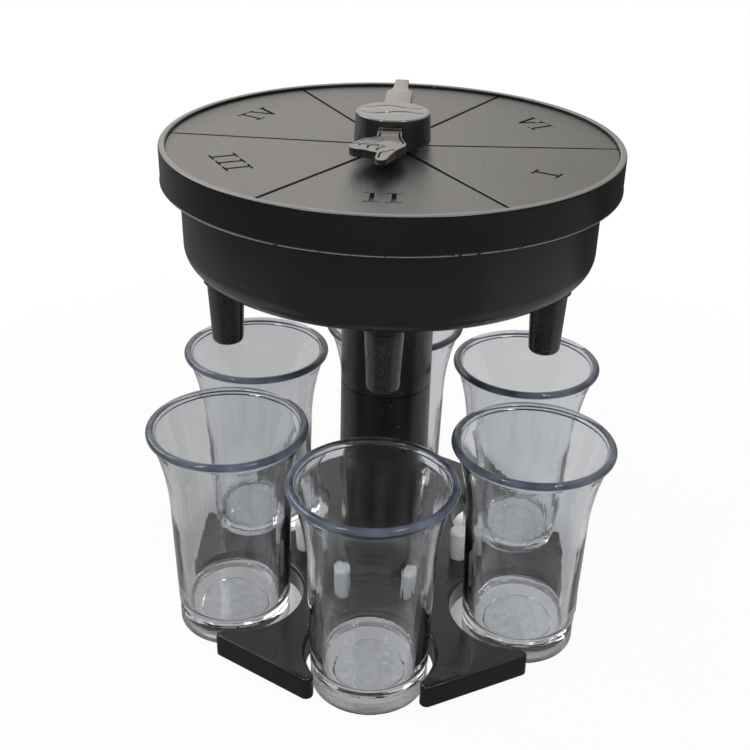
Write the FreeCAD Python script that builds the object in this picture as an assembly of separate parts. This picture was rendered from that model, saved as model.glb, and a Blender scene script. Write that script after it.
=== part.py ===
import FreeCAD, Part
import math
import os

# Party shot dispenser: a bowl on a column over six shot glasses, closed by a dial with a spinner.
# Millimetres, +Z up. The origin is the centre of the base's underside, on the surface it stands on.
# Place 1 lies to the right of the front glass; the places run clockwise, as the dial's numerals do.

V = FreeCAD.Vector
UP = V(0, 0, 1)

# Places
PLACES = 6
FIRST_PLACE_ANGLE = -30.0

# Clearances
SLIDE_GAP = 0.3             # round the pieces that lift or slide off
SEAT_GAP = 0.3              # under the pieces that rest on another body
RUN_GAP = 0.06              # spinner on its post
OVERLAP = 0.2               # how far joined forms reach into each other

# Shot glasses
GLASS_HEIGHT = 66.5
GLASS_FOOT_R = 16.7
GLASS_SWELL = 0.9           # belly beyond the foot
GLASS_BELLY_Z = 38.0        # where the straight body ends and the flare begins
GLASS_FLARE = 6.4           # rim beyond the foot
GLASS_SPACING = 3.8         # between the rims of two neighbours
GLASS_WALL = 1.7
GLASS_FOOT_WALL = 2.9       # the wall thickens towards the floor
GLASS_FLOOR = 6.2
GLASS_FLOOR_ROUND = 2.8
BEAD_WIDTH = 2.5
BEAD_HEIGHT = 2.4
FLARE_START_R = 0.36        # share of the flare's widening that is reached
FLARE_START_Z = 0.62        # at this share of its height
INNER_FLARE_LIFT = 0.6      # the inner side bends this far above the outer one
FOOT_CHAMFER = 0.6
FOOT_RECESS_R = 10.8        # shallow hollow under the solid bottom
FOOT_RECESS = 0.5
FOOT_GROOVE_Z = 7.2         # fine groove round the solid bottom
FOOT_GROOVE = 0.35

# Base
BASE_HEIGHT = 7.0
BASE_PLATE = 2.0
BASE_WALL = 2.0
ARM_REACH = 12.3            # flat end of an arm beyond the glasses' ring
POCKET_GAP = 1.9            # pocket wall to glass foot
POCKET_SETBACK = 2.4        # pocket centre behind the glass centre
MOUTH_GRIP = 1.7            # how far each lip stands in front of the glass foot
ARM_CORNER_R = 2.0
BASE_EDGE_R = 1.2
RIB_THICK = 1.6
RIB_LIFT = 1.0              # the ribs end this far above the table
SOCKET_HEIGHT = 9.0         # ring that locates the column
SOCKET_WALL = 2.0

# Stoppers and the holes that store them
STOPPER_SPACE = 11.2        # column to a stopper's axis
STOPPER_LENGTH = 15.0
STOPPER_END_R = 2.3
STOPPER_TOP_R = 3.1
STOPPER_ROUND = 0.9
HOLE_FLOOR_Z = 0.8
HOLE_FLOOR = 1.2
HOLE_WALL = 1.4

# Column
COLUMN_TOP_R = 13.4
COLUMN_TAPER = 0.4
COLUMN_WALL = 2.0
SPIGOT_LENGTH = 29.0
SPIGOT_CHAMFER = 1.0
WEB_Z = 21.0
WEB = 2.4
SCREW_BOSS_R = 3.4

# Column screw
SCREW_R = 1.5
SCREW_HEAD_R = 3.6
SCREW_HEAD = 1.8
SCREW_LENGTH = 15.0
SCREW_SLOT = 0.9            # width of a head's cross slot
SLOT_REACH = 0.6            # of the head's radius
SLOT_DEPTH = 0.5            # of the head
HEAD_ROUND = 0.4            # of the head

# Bowl
POUR_HEIGHT = 27.2          # glass rim to nozzle tip
COLLAR_WALL = 2.0
COLLAR_LENGTH = 40.0        # seam to the bowl's underside at its edge
COLLAR_FILLET = 2.0
BOWL_EDGE = 7.9             # nozzle's axis to the bowl's side
BOWL_DRAFT = 0.2
BOWL_DEPTH = 29.2
BOWL_CORNER_R = 5.4
BOWL_WALL = 2.2
BOWL_LIP = 2.3              # outward flange at the top
BOWL_LIP_THICK = 1.8
CONE_RISE = 5.0             # the floor rises to the middle, so the drink runs outwards
GUTTER = 8.5                # flat ring of floor with the outlets

# Nozzles
NOZZLE_SETBACK = 0.7        # nozzle's axis behind the glass's
NOZZLE_LENGTH = 17.4
BOWL_TURN = 2.2             # the bowl stands turned a little on the column, in degrees
NOZZLE_ROOT_R = 4.95
NOZZLE_TIP_R = 4.2
NOZZLE_ROUND = 1.3
NOZZLE_BORE_R = 2.7
NOZZLE_FLARE = 0.8

# Lid
LID_PLATE = 2.4
SKIRT_DEPTH = 9.9
SKIRT_WALL = 2.2
SKIRT_GAP = 0.6             # skirt to the bowl's lip
RIM_WIDTH = 2.0
RIM_RAISE = 1.0
RIM_ROUND = 0.7
LOCATING_GAP = 0.6
LOCATING_WALL = 1.6
LOCATING_DEPTH = 3.0
DIAL_DISH = 1.0             # the dial's middle lies this far below its edge
DIAL_FLAT_R = 8.0           # level middle, under the spinner
LID_TURN = 0.7              # the lid stands turned a little on the bowl, in degrees
GROOVE_WIDTH = 1.0
GROOVE_DEPTH = 0.9          # of the grooves and the numerals
GROOVE_START_R = 6.0

# Numerals, their tops outward
NUMERALS = ("I", "II", "III", "IV", "V", "VI")
NUMERAL_RING_R = 46.1       # dial's axis to a numeral's middle
NUMERAL_HEIGHT = 7.2
STEM_WIDTH = 1.05
SERIF_LENGTH = 4.0
SERIF_WIDTH = 0.55
STEM_STEP = 5.2             # between two stems
V_STEP = 6.3                # between the middle of a V and a stem
V_HALF = 3.05               # outer side of an arm at the serif
V_ARM = 1.1                 # width of an arm at the serif
V_FOOT_HALF = 0.5
V_FORK = 1.8                # the arms part this far above the foot
V_SERIF_IN = 1.1
V_SERIF_OUT = 4.0

# Spinner
POST_R = 2.6
WASHER_R = 7.0
WASHER_GAP = 0.3
WASHER = 0.5
POINTER_LIFT = 2.7          # sleeve under the pointer's plate
SLEEVE_R = 5.5
POINTER_THICK = 2.5
DISC_GAP = 0.2              # pointer's disc to the cap's wall
AXLE_SCREW_R = 1.1
AXLE_HEAD_R = 4.2
AXLE_HEAD = 1.2
AXLE_LENGTH = 7.0
CAP_TOP_R = 10.0
CAP_DRAFT = 0.4
CAP_HEAD_ROOM = 0.5         # over the axle screw's head
CAP_WALL = 1.6
CAP_TOP = 1.1
CAP_EDGE_R = 0.5
CAP_SEAT_GAP = 0.1
CAP_LIFT = 1.2              # dial's middle to the cap's lower edge
WINDOW_GAP = 0.3
WINDOW_RISE = 1.5           # window above the pointer's plate

# Pointer's outline, from the spinner's axis
WRIST_HALF = 2.9
PALM_START = 12.0
PALM_END = 25.0
PALM_LEFT = 7.6
PALM_RIGHT = 4.5
HEEL_DROP = 1.2             # where the sides bend in behind the palm
HEEL_LEFT = 0.4
HEEL_RIGHT = 0.2
FINGER_END = 34.2
FINGER_ROOT_HALF = 2.2
FINGER_TIP_HALF = 1.3
FINGER_TIP_SHIFT = -1.0
CURLED_FINGERS = 3
CURLED_R = 1.6
CURLED_START = 0.72         # outer folded finger, as a share of the palm's length
BOTTLE_HALF = 3.8
BOTTLE_SHOULDER = 34.7
SHOULDER_SWELL = 0.35
NECK_START = 39.5
NECK_HALF = 2.2
NECK_END_HALF = 1.95
BOTTLE_END = 49.4
BOTTLE_ROUND = 0.8

# Heights and sizes that follow
GLASS_BELLY_R = GLASS_FOOT_R + GLASS_SWELL
GLASS_RIM_R = GLASS_FOOT_R + GLASS_FLARE
GLASS_RING_R = (GLASS_RIM_R + GLASS_SPACING / 2) / math.sin(math.pi / PLACES)
POCKET_R = GLASS_FOOT_R + POCKET_GAP
POCKET_RING_R = GLASS_RING_R - POCKET_SETBACK
MOUTH_HALF = GLASS_FOOT_R - MOUTH_GRIP
ARM_END = GLASS_RING_R + ARM_REACH
COLUMN_FOOT_R = COLUMN_TOP_R + COLUMN_TAPER
SOCKET_R = COLUMN_FOOT_R - COLUMN_WALL - SLIDE_GAP
STOPPER_RING_R = COLUMN_FOOT_R + STOPPER_SPACE
STOPPER_Z = HOLE_FLOOR_Z + HOLE_FLOOR + SEAT_GAP
NOZZLE_RING_R = GLASS_RING_R - NOZZLE_SETBACK
NOZZLE_TIP_Z = GLASS_HEIGHT + POUR_HEIGHT
BOWL_R = NOZZLE_RING_R + BOWL_EDGE
BOWL_TOP_R = BOWL_R + BOWL_DRAFT
BOWL_Z = NOZZLE_TIP_Z + NOZZLE_LENGTH
BOWL_FLOOR_Z = BOWL_Z + BOWL_WALL
BOWL_TOP_Z = BOWL_Z + BOWL_DEPTH
COLLAR_Z = BOWL_Z - COLLAR_LENGTH
COLLAR_BORE_R = COLUMN_TOP_R - COLLAR_WALL
SPIGOT_R = COLLAR_BORE_R - SLIDE_GAP
SHOULDER_Z = COLLAR_Z - SEAT_GAP
SPIGOT_TOP_Z = SHOULDER_Z + SPIGOT_LENGTH
LID_R = BOWL_TOP_R + BOWL_LIP + SKIRT_GAP + SKIRT_WALL
LID_SEAT_Z = BOWL_TOP_Z + SEAT_GAP
DIAL_EDGE_Z = LID_SEAT_Z + LID_PLATE
DIAL_Z = DIAL_EDGE_Z - DIAL_DISH
LID_TOP_Z = DIAL_EDGE_Z + RIM_RAISE
SKIRT_Z = LID_TOP_Z - SKIRT_DEPTH
SLEEVE_Z = DIAL_Z + WASHER + SEAT_GAP
POINTER_Z = SLEEVE_Z + POINTER_LIFT
POINTER_TOP_Z = POINTER_Z + POINTER_THICK
POST_TOP_Z = POINTER_TOP_Z + SEAT_GAP
POINTER_DISC_R = CAP_TOP_R - CAP_WALL - DISC_GAP
CAP_FOOT_R = CAP_TOP_R + CAP_DRAFT
CAP_Z = DIAL_Z + CAP_LIFT
CAP_TOP_Z = POST_TOP_Z + AXLE_HEAD + CAP_HEAD_ROOM + CAP_TOP


def place_angle(number):
    """Angle of a glass and its nozzle, in degrees about +Z."""
    return FIRST_PLACE_ANGLE - number * 360.0 / PLACES


def between_angle(number):
    """Angle of an arm of the base and of its stopper."""
    return place_angle(number) + 180.0 / PLACES


def at_angle(shape, angle):
    """A copy turned about the object's axis."""
    turned = shape.copy()
    turned.rotate(V(0, 0, 0), UP, angle)
    return turned


def joined(first, others):
    """One solid from several that overlap."""
    return first.fuse(others).removeSplitter()


def edge_line(start, end):
    return Part.LineSegment(V(start[0], 0, start[1]), V(end[0], 0, end[1])).toShape()


def edge_arc(start, middle, end):
    points = [V(r, 0, z) for r, z in (start, middle, end)]
    return Part.Arc(*points).toShape()


def corner_arc(start, centre, end):
    """The short arc about a centre in a profile of radius and height."""
    radius = math.dist(start, centre)
    angles = [math.atan2(p[1] - centre[1], p[0] - centre[0]) for p in (start, end)]
    turn = (angles[1] - angles[0] + math.pi) % (2 * math.pi) - math.pi
    half = angles[0] + turn / 2
    middle = (centre[0] + radius * math.cos(half), centre[1] + radius * math.sin(half))
    return edge_arc(start, middle, end)


def turned_solid(edges):
    """A solid of revolution about Z from the edges of a closed profile."""
    face = Part.Face(Part.Wire(Part.__sortEdges__(edges)))
    return face.revolve(V(0, 0, 0), UP, 360)


def turned_points(points):
    """A solid of revolution from corners of radius and height."""
    edges = [edge_line(a, b) for a, b in zip(points, points[1:] + points[:1])]
    return turned_solid(edges)


def cylinder(radius, low, high, x=0.0, y=0.0):
    return Part.makeCylinder(radius, high - low, V(x, y, low), UP)


def tube(outer, inner, low, high):
    return cylinder(outer, low, high).cut(cylinder(inner, low - 1, high + 1))


def slab(x_low, x_high, y_low, y_high, z_low, z_high):
    return Part.makeBox(x_high - x_low, y_high - y_low, z_high - z_low, V(x_low, y_low, z_low))


def base_star(inset, low, high):
    """The base's outline as a prism: a hexagon of flat arm ends with six open pockets."""
    corner_r = (ARM_END - inset) / math.cos(math.pi / PLACES)
    corners = [V(0, -corner_r, low)]
    for _ in range(PLACES):
        corners.append(FreeCAD.Rotation(UP, 360.0 / PLACES).multVec(corners[-1]))
    star = Part.Face(Part.makePolygon(corners)).extrude(V(0, 0, high - low))
    pocket = cylinder(POCKET_R + inset, low - 1, high + 1, POCKET_RING_R)
    half = MOUTH_HALF + inset
    mouth = slab(POCKET_RING_R, corner_r + 1, -half, half, low - 1, high + 1)
    opening = pocket.fuse(mouth)
    return star.cut([at_angle(opening, place_angle(n)) for n in range(PLACES)])


def is_upright(edge):
    direction = edge.Vertexes[0].Point - edge.Vertexes[-1].Point
    return abs(direction.x) + abs(direction.y) < 0.01 and abs(direction.z) > 0.01


def arm_corners(shape):
    """The upright edges at the flat ends of the arms."""
    upright = [e for e in shape.Edges if is_upright(e)]
    return [e for e in upright if math.hypot(e.CenterOfMass.x, e.CenterOfMass.y) > ARM_END]


def edges_at(shape, height):
    """All edges that lie flat at a height."""
    box_fits = lambda box: abs(box.ZMin - height) < 0.001 and abs(box.ZMax - height) < 0.001
    return [e for e in shape.Edges if box_fits(e.BoundBox)]


def stopper_radius(height):
    """A stopper's radius at a height over the table."""
    share = (height - STOPPER_Z) / STOPPER_LENGTH
    return STOPPER_END_R + share * (STOPPER_TOP_R - STOPPER_END_R)


def hole_cone():
    """The tapered hole that holds a stopper with the sliding gap round it."""
    low = HOLE_FLOOR_Z + HOLE_FLOOR
    high = BASE_HEIGHT + 1
    return turned_points([
        (0, low), (stopper_radius(low) + SLIDE_GAP, low),
        (stopper_radius(high) + SLIDE_GAP, high), (0, high)])


def make_base():
    """Star-shaped moulding, open underneath, with pockets, stopper holes and the column's socket."""
    shell = base_star(0, 0, BASE_HEIGHT)
    shell = shell.makeFillet(ARM_CORNER_R, arm_corners(shell))
    shell = shell.makeFillet(BASE_EDGE_R, edges_at(shell, BASE_HEIGHT))
    shell = shell.cut(base_star(BASE_WALL, -1, BASE_HEIGHT - BASE_PLATE))
    under_plate = BASE_HEIGHT - BASE_PLATE + OVERLAP
    rib = slab(0, ARM_END - BASE_WALL / 2, -RIB_THICK / 2, RIB_THICK / 2, RIB_LIFT, under_plate)
    hole = hole_cone()
    hole.translate(V(STOPPER_RING_R, 0, 0))
    boss_r = stopper_radius(BASE_HEIGHT) + SLIDE_GAP + HOLE_WALL
    boss = cylinder(boss_r, HOLE_FLOOR_Z, under_plate, STOPPER_RING_R)
    added = [cylinder(SCREW_HEAD_R + HOLE_WALL + SLIDE_GAP, RIB_LIFT, under_plate)]
    added.append(tube(SOCKET_R, SOCKET_R - SOCKET_WALL, BASE_HEIGHT - OVERLAP, BASE_HEIGHT + SOCKET_HEIGHT))
    for n in range(PLACES):
        added += [at_angle(rib, between_angle(n)), at_angle(boss, between_angle(n))]
    head_room = cylinder(SCREW_HEAD_R + SLIDE_GAP, -1, BASE_HEIGHT - BASE_PLATE)
    shank_hole = cylinder(SCREW_R + SLIDE_GAP, -1, BASE_HEIGHT + 1)
    holes = [at_angle(hole, between_angle(n)) for n in range(PLACES)]
    return joined(shell, added).cut(holes + [head_room, shank_hole])


def make_column():
    """Round tube with a spigot on top and, inside, a web whose boss takes the screw."""
    inner_low = COLUMN_FOOT_R - COLUMN_WALL
    inner_high = SPIGOT_R - COLUMN_WALL
    wall = turned_points([
        (inner_low, BASE_HEIGHT), (COLUMN_FOOT_R, BASE_HEIGHT), (COLUMN_TOP_R, SHOULDER_Z),
        (SPIGOT_R, SHOULDER_Z), (SPIGOT_R, SPIGOT_TOP_Z - SPIGOT_CHAMFER),
        (SPIGOT_R - SPIGOT_CHAMFER, SPIGOT_TOP_Z), (inner_high, SPIGOT_TOP_Z),
        (inner_high, SHOULDER_Z - COLUMN_WALL), (inner_low, SHOULDER_Z - 2 * COLUMN_WALL)])
    web = cylinder(inner_low + OVERLAP, WEB_Z, WEB_Z + WEB)
    boss = cylinder(SCREW_BOSS_R, BASE_HEIGHT, WEB_Z + OVERLAP)
    bore = cylinder(SCREW_R, BASE_HEIGHT - 1, BASE_HEIGHT - BASE_PLATE + SCREW_LENGTH + SLIDE_GAP)
    return joined(wall, [web, boss]).cut(bore)


def make_screw(head_r, head, shank_r, length, head_z, direction):
    """A pan-head screw with a cross slot; the head's flat face is at head_z."""
    pan = cylinder(head_r, 0, head)
    pan = pan.makeFillet(head * HEAD_ROUND, edges_at(pan, 0))
    screw = pan.fuse(cylinder(shank_r, head - OVERLAP, head + length))
    for angle in (0, 90):
        reach = head_r * SLOT_REACH
        slot = slab(-reach, reach, -SCREW_SLOT / 2, SCREW_SLOT / 2, -1, head * SLOT_DEPTH)
        screw = screw.cut(at_angle(slot, angle))
    if direction < 0:
        screw.rotate(V(0, 0, 0), V(1, 0, 0), 180)
        screw.translate(V(0, 0, head_z + head))
    else:
        screw.translate(V(0, 0, head_z - head))
    return screw


def make_nozzle():
    """Tapered spout with a rounded tip, on the object's axis at its own height."""
    root_z = BOWL_FLOOR_Z - OVERLAP
    side_r = NOZZLE_TIP_R
    tip = NOZZLE_TIP_Z
    edges = [
        edge_line((0, tip), (side_r - NOZZLE_ROUND, tip)),
        corner_arc((side_r - NOZZLE_ROUND, tip), (side_r - NOZZLE_ROUND, tip + NOZZLE_ROUND),
                   (side_r, tip + NOZZLE_ROUND)),
        edge_line((side_r, tip + NOZZLE_ROUND), (NOZZLE_ROOT_R, BOWL_Z - NOZZLE_FLARE)),
        edge_line((NOZZLE_ROOT_R, BOWL_Z - NOZZLE_FLARE), (NOZZLE_ROOT_R + NOZZLE_FLARE, BOWL_Z)),
        edge_line((NOZZLE_ROOT_R + NOZZLE_FLARE, BOWL_Z), (NOZZLE_ROOT_R + NOZZLE_FLARE, root_z)),
        edge_line((NOZZLE_ROOT_R + NOZZLE_FLARE, root_z), (0, root_z)),
        edge_line((0, root_z), (0, tip))]
    return turned_solid(edges)


def bowl_profile():
    """Edges of the bowl's section: collar, underside, side, lip, inside and coned floor."""
    collar_top = BOWL_Z + CONE_RISE
    cone_low_r = BOWL_R - BOWL_WALL - GUTTER
    collar_r = COLUMN_TOP_R
    inner_corner_r = BOWL_CORNER_R - BOWL_WALL
    inner_r = BOWL_R - BOWL_WALL
    socket_top = collar_top - BOWL_WALL / 2
    floor_top = collar_top + BOWL_WALL
    bottom_r = BOWL_R - BOWL_CORNER_R
    lip_r = BOWL_TOP_R + BOWL_LIP
    lip_z = BOWL_TOP_Z - BOWL_LIP_THICK
    slope = CONE_RISE / (cone_low_r - collar_r)
    flare_r = collar_r + COLLAR_FILLET
    flare_z = collar_top - slope * COLLAR_FILLET
    return [
        edge_line((0, socket_top), (COLLAR_BORE_R, socket_top)),
        edge_line((COLLAR_BORE_R, socket_top), (COLLAR_BORE_R, COLLAR_Z)),
        edge_line((COLLAR_BORE_R, COLLAR_Z), (collar_r, COLLAR_Z)),
        edge_line((collar_r, COLLAR_Z), (collar_r, flare_z - COLLAR_FILLET)),
        corner_arc((collar_r, flare_z - COLLAR_FILLET), (flare_r, flare_z - COLLAR_FILLET),
                   (flare_r, flare_z)),
        edge_line((flare_r, flare_z), (cone_low_r, BOWL_Z)),
        edge_line((cone_low_r, BOWL_Z), (bottom_r, BOWL_Z)),
        corner_arc((bottom_r, BOWL_Z), (bottom_r, BOWL_Z + BOWL_CORNER_R),
                   (BOWL_R, BOWL_Z + BOWL_CORNER_R)),
        edge_line((BOWL_R, BOWL_Z + BOWL_CORNER_R), (BOWL_TOP_R, lip_z)),
        edge_line((BOWL_TOP_R, lip_z), (lip_r, lip_z)),
        edge_line((lip_r, lip_z), (lip_r, BOWL_TOP_Z)),
        edge_line((lip_r, BOWL_TOP_Z), (BOWL_TOP_R - BOWL_WALL, BOWL_TOP_Z)),
        edge_line((BOWL_TOP_R - BOWL_WALL, BOWL_TOP_Z), (inner_r, BOWL_Z + BOWL_CORNER_R)),
        corner_arc((inner_r, BOWL_Z + BOWL_CORNER_R), (bottom_r, BOWL_Z + BOWL_CORNER_R),
                   (bottom_r, BOWL_Z + BOWL_CORNER_R - inner_corner_r)),
        edge_line((bottom_r, BOWL_FLOOR_Z), (cone_low_r, BOWL_FLOOR_Z)),
        edge_line((cone_low_r, BOWL_FLOOR_Z), (collar_r, floor_top)),
        edge_line((collar_r, floor_top), (0, floor_top)),
        edge_line((0, floor_top), (0, socket_top))]


def make_bowl():
    """Bowl with its collar and six nozzles moulded on; each nozzle has a bore from the floor."""
    bowl = turned_solid(bowl_profile())
    nozzle = make_nozzle()
    nozzle.translate(V(NOZZLE_RING_R, 0, 0))
    bore = cylinder(NOZZLE_BORE_R, NOZZLE_TIP_Z - 1, BOWL_FLOOR_Z + 1, NOZZLE_RING_R)
    nozzles = [at_angle(nozzle, place_angle(n) + BOWL_TURN) for n in range(PLACES)]
    bores = [at_angle(bore, place_angle(n) + BOWL_TURN) for n in range(PLACES)]
    return joined(bowl, nozzles).cut(bores)


def lid_profile():
    """Edges of the lid's section, without its centre post."""
    inner_skirt_r = LID_R - SKIRT_WALL
    rim_in = LID_R - RIM_WIDTH
    locate_r = BOWL_TOP_R - BOWL_WALL - LOCATING_GAP
    locate_in = locate_r - LOCATING_WALL
    locate_z = LID_SEAT_Z - LOCATING_DEPTH
    top = LID_TOP_Z
    side_top = top - RIM_ROUND
    points = [
        (LID_R, side_top), (LID_R, SKIRT_Z), (inner_skirt_r, SKIRT_Z), (inner_skirt_r, LID_SEAT_Z),
        (locate_r, LID_SEAT_Z), (locate_r, locate_z), (locate_in, locate_z), (locate_in, LID_SEAT_Z),
        (DIAL_FLAT_R, LID_SEAT_Z - DIAL_DISH), (0, LID_SEAT_Z - DIAL_DISH), (0, DIAL_Z),
        (DIAL_FLAT_R, DIAL_Z), (rim_in, DIAL_EDGE_Z), (rim_in, top), (LID_R - RIM_ROUND, top)]
    edges = [edge_line(a, b) for a, b in zip(points, points[1:])]
    round_centre = (LID_R - RIM_ROUND, side_top)
    edges.append(corner_arc((LID_R - RIM_ROUND, top), round_centre, (LID_R, side_top)))
    return edges


def stem_outline(across):
    """Corners of an I, with a serif at each end; each corner as across and outward."""
    top = NUMERAL_HEIGHT / 2
    half = STEM_WIDTH / 2
    serif = SERIF_LENGTH / 2
    corner = [(serif, top), (serif, top - SERIF_WIDTH), (half, top - SERIF_WIDTH)]
    right = corner + [(a, -b) for a, b in reversed(corner)]
    return [(across + a, b) for a, b in right] + [(across - a, b) for a, b in reversed(right)]


def v_outline(across):
    """Corners of a V, with a serif on each arm."""
    top = NUMERAL_HEIGHT / 2
    under = top - SERIF_WIDTH
    right = [
        (V_HALF - V_ARM, under), (V_SERIF_IN, under), (V_SERIF_IN, top), (V_SERIF_OUT, top),
        (V_SERIF_OUT, under), (V_HALF, under), (V_FOOT_HALF, -top)]
    left = [(-a, b) for a, b in reversed(right)]
    return [(across + a, b) for a, b in [(0, V_FORK - top)] + right + left]


def numeral_cuts(number):
    """Prisms of one numeral's letters, side by side about the middle of its sector."""
    text = NUMERALS[number]
    steps = [V_STEP if "V" in text[n:n + 2] else STEM_STEP for n in range(len(text) - 1)]
    floor_z = DIAL_Z - GROOVE_DEPTH
    turn = place_angle(number) + LID_TURN
    cuts = []
    for n, letter in enumerate(text):
        across = sum(steps[:n]) - sum(steps) / 2
        outline = v_outline(across) if letter == "V" else stem_outline(across)
        corners = [V(NUMERAL_RING_R + b, -a, floor_z) for a, b in outline]
        face = Part.Face(Part.makePolygon(corners + corners[:1]))
        cuts.append(at_angle(face.extrude(UP * (LID_TOP_Z - floor_z)), turn))
    return cuts


def engraved_layer():
    """The depth of the grooves and numerals under the dished face, with the air over it."""
    rim_in = LID_R - RIM_WIDTH
    return turned_points([
        (0, DIAL_Z - GROOVE_DEPTH), (DIAL_FLAT_R, DIAL_Z - GROOVE_DEPTH),
        (rim_in, DIAL_EDGE_Z - GROOVE_DEPTH), (rim_in, LID_TOP_Z), (0, LID_TOP_Z)])


def make_lid():
    """Dished dial with raised rim, skirt, grooves, numerals and the post that the spinner turns on."""
    lid = turned_solid(lid_profile())
    lid = joined(lid, [cylinder(POST_R, DIAL_Z - OVERLAP, POST_TOP_Z)])
    rim_in = LID_R - RIM_WIDTH
    half = GROOVE_WIDTH / 2
    groove = slab(GROOVE_START_R, rim_in, -half, half, DIAL_Z - GROOVE_DEPTH, LID_TOP_Z)
    cuts = [at_angle(groove, between_angle(n) + LID_TURN) for n in range(PLACES)]
    cuts += [cut for n in range(PLACES) for cut in numeral_cuts(n)]
    layer = engraved_layer()
    engraving = [cut.common(layer) for cut in cuts]
    bore = cylinder(AXLE_SCREW_R, POST_TOP_Z - AXLE_LENGTH - SEAT_GAP, POST_TOP_Z + 1)
    return lid.cut(engraving + [bore])


def make_washer():
    """Flat washer between the dial and the spinner."""
    return tube(WASHER_R, POST_R + WASHER_GAP, DIAL_Z, DIAL_Z + WASHER)


def flat_outline(points_and_arcs):
    """A plate of the pointer's thickness from straight edges and three-point arcs."""
    edges = []
    for item in points_and_arcs:
        corners = [V(x, y, POINTER_Z) for x, y in item]
        is_arc = len(corners) == 3
        curve = Part.Arc(*corners) if is_arc else Part.LineSegment(*corners)
        edges.append(curve.toShape())
    face = Part.Face(Part.Wire(Part.__sortEdges__(edges)))
    return face.extrude(V(0, 0, POINTER_THICK))


def make_palm():
    """Wrist and palm, seen from above with the fingers towards -Y."""
    knuckle_y = -PALM_END + CURLED_R
    heel_y = -(PALM_START + PALM_END) / 2
    left_low = (-WRIST_HALF, -PALM_START)
    right_low = (WRIST_HALF, -PALM_START)
    left_high = (-PALM_LEFT, heel_y - CURLED_R)
    right_high = (PALM_RIGHT, heel_y - CURLED_R)
    left_bend = (HEEL_LEFT - (WRIST_HALF + PALM_LEFT) / 2, heel_y + HEEL_DROP)
    right_bend = ((WRIST_HALF + PALM_RIGHT) / 2 - HEEL_RIGHT, heel_y + HEEL_DROP)
    return flat_outline([
        ((-WRIST_HALF, 0), left_low), (left_low, left_bend, left_high),
        (left_high, (-FINGER_ROOT_HALF, knuckle_y - CURLED_R)),
        ((-FINGER_ROOT_HALF, knuckle_y - CURLED_R), (FINGER_ROOT_HALF, knuckle_y - CURLED_R)),
        ((FINGER_ROOT_HALF, knuckle_y - CURLED_R), right_high),
        (right_high, right_bend, right_low), (right_low, (WRIST_HALF, 0)),
        ((WRIST_HALF, 0), (-WRIST_HALF, 0))])


def make_curled_fingers():
    """Three folded fingers in a slanting row beside the pointing one."""
    lobes = []
    first = V(-PALM_LEFT, -PALM_START - (PALM_END - PALM_START) * CURLED_START, 0)
    last = V(-FINGER_ROOT_HALF - CURLED_R / 2, -PALM_END - CURLED_R / 4, 0)
    for n in range(CURLED_FINGERS):
        centre = first + (last - first) * (n / (CURLED_FINGERS - 1))
        lobes.append(cylinder(CURLED_R, POINTER_Z, POINTER_TOP_Z, centre.x, centre.y))
    return lobes


def make_pointing_finger():
    root_y = -PALM_END + CURLED_R
    tip_y = -FINGER_END + FINGER_TIP_HALF
    tip_left = (FINGER_TIP_SHIFT - FINGER_TIP_HALF, tip_y)
    tip_right = (FINGER_TIP_SHIFT + FINGER_TIP_HALF, tip_y)
    return flat_outline([
        ((-FINGER_ROOT_HALF, root_y), tip_left), (tip_left, (FINGER_TIP_SHIFT, -FINGER_END), tip_right),
        (tip_right, (FINGER_ROOT_HALF, root_y)), ((FINGER_ROOT_HALF, root_y), (-FINGER_ROOT_HALF, root_y))])


def make_bottle_tail():
    """Bottle-shaped tail towards +Y: body, shoulders, neck and rounded mouth."""
    shoulder_y = (BOTTLE_SHOULDER + NECK_START) / 2
    shoulder_x = (BOTTLE_HALF + NECK_HALF) / 2 + SHOULDER_SWELL
    side_y = BOTTLE_END - BOTTLE_ROUND
    flat_x = NECK_END_HALF - BOTTLE_ROUND
    bend = BOTTLE_ROUND * (1 - math.sqrt(0.5))
    half = []
    for side in (-1, 1):
        half += [
            ((side * BOTTLE_HALF, 0), (side * BOTTLE_HALF, BOTTLE_SHOULDER)),
            ((side * BOTTLE_HALF, BOTTLE_SHOULDER), (side * shoulder_x, shoulder_y),
             (side * NECK_HALF, NECK_START)),
            ((side * NECK_HALF, NECK_START), (side * NECK_END_HALF, side_y)),
            ((side * NECK_END_HALF, side_y), (side * (NECK_END_HALF - bend), BOTTLE_END - bend),
             (side * flat_x, BOTTLE_END))]
    ends = [((-flat_x, BOTTLE_END), (flat_x, BOTTLE_END)), ((-BOTTLE_HALF, 0), (BOTTLE_HALF, 0))]
    return flat_outline(half + ends)


def make_pointer():
    """Spinner's plate: sleeve and disc on the post, pointing hand in front, bottle-shaped tail behind."""
    disc = cylinder(POINTER_DISC_R, POINTER_Z, POINTER_TOP_Z)
    sleeve = cylinder(SLEEVE_R, SLEEVE_Z, POINTER_Z + OVERLAP)
    arms = [sleeve, make_palm(), make_pointing_finger(), make_bottle_tail()] + make_curled_fingers()
    bore = cylinder(POST_R + RUN_GAP, SLEEVE_Z - 1, POINTER_TOP_Z + 1)
    return joined(disc, arms).cut(bore)


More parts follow.
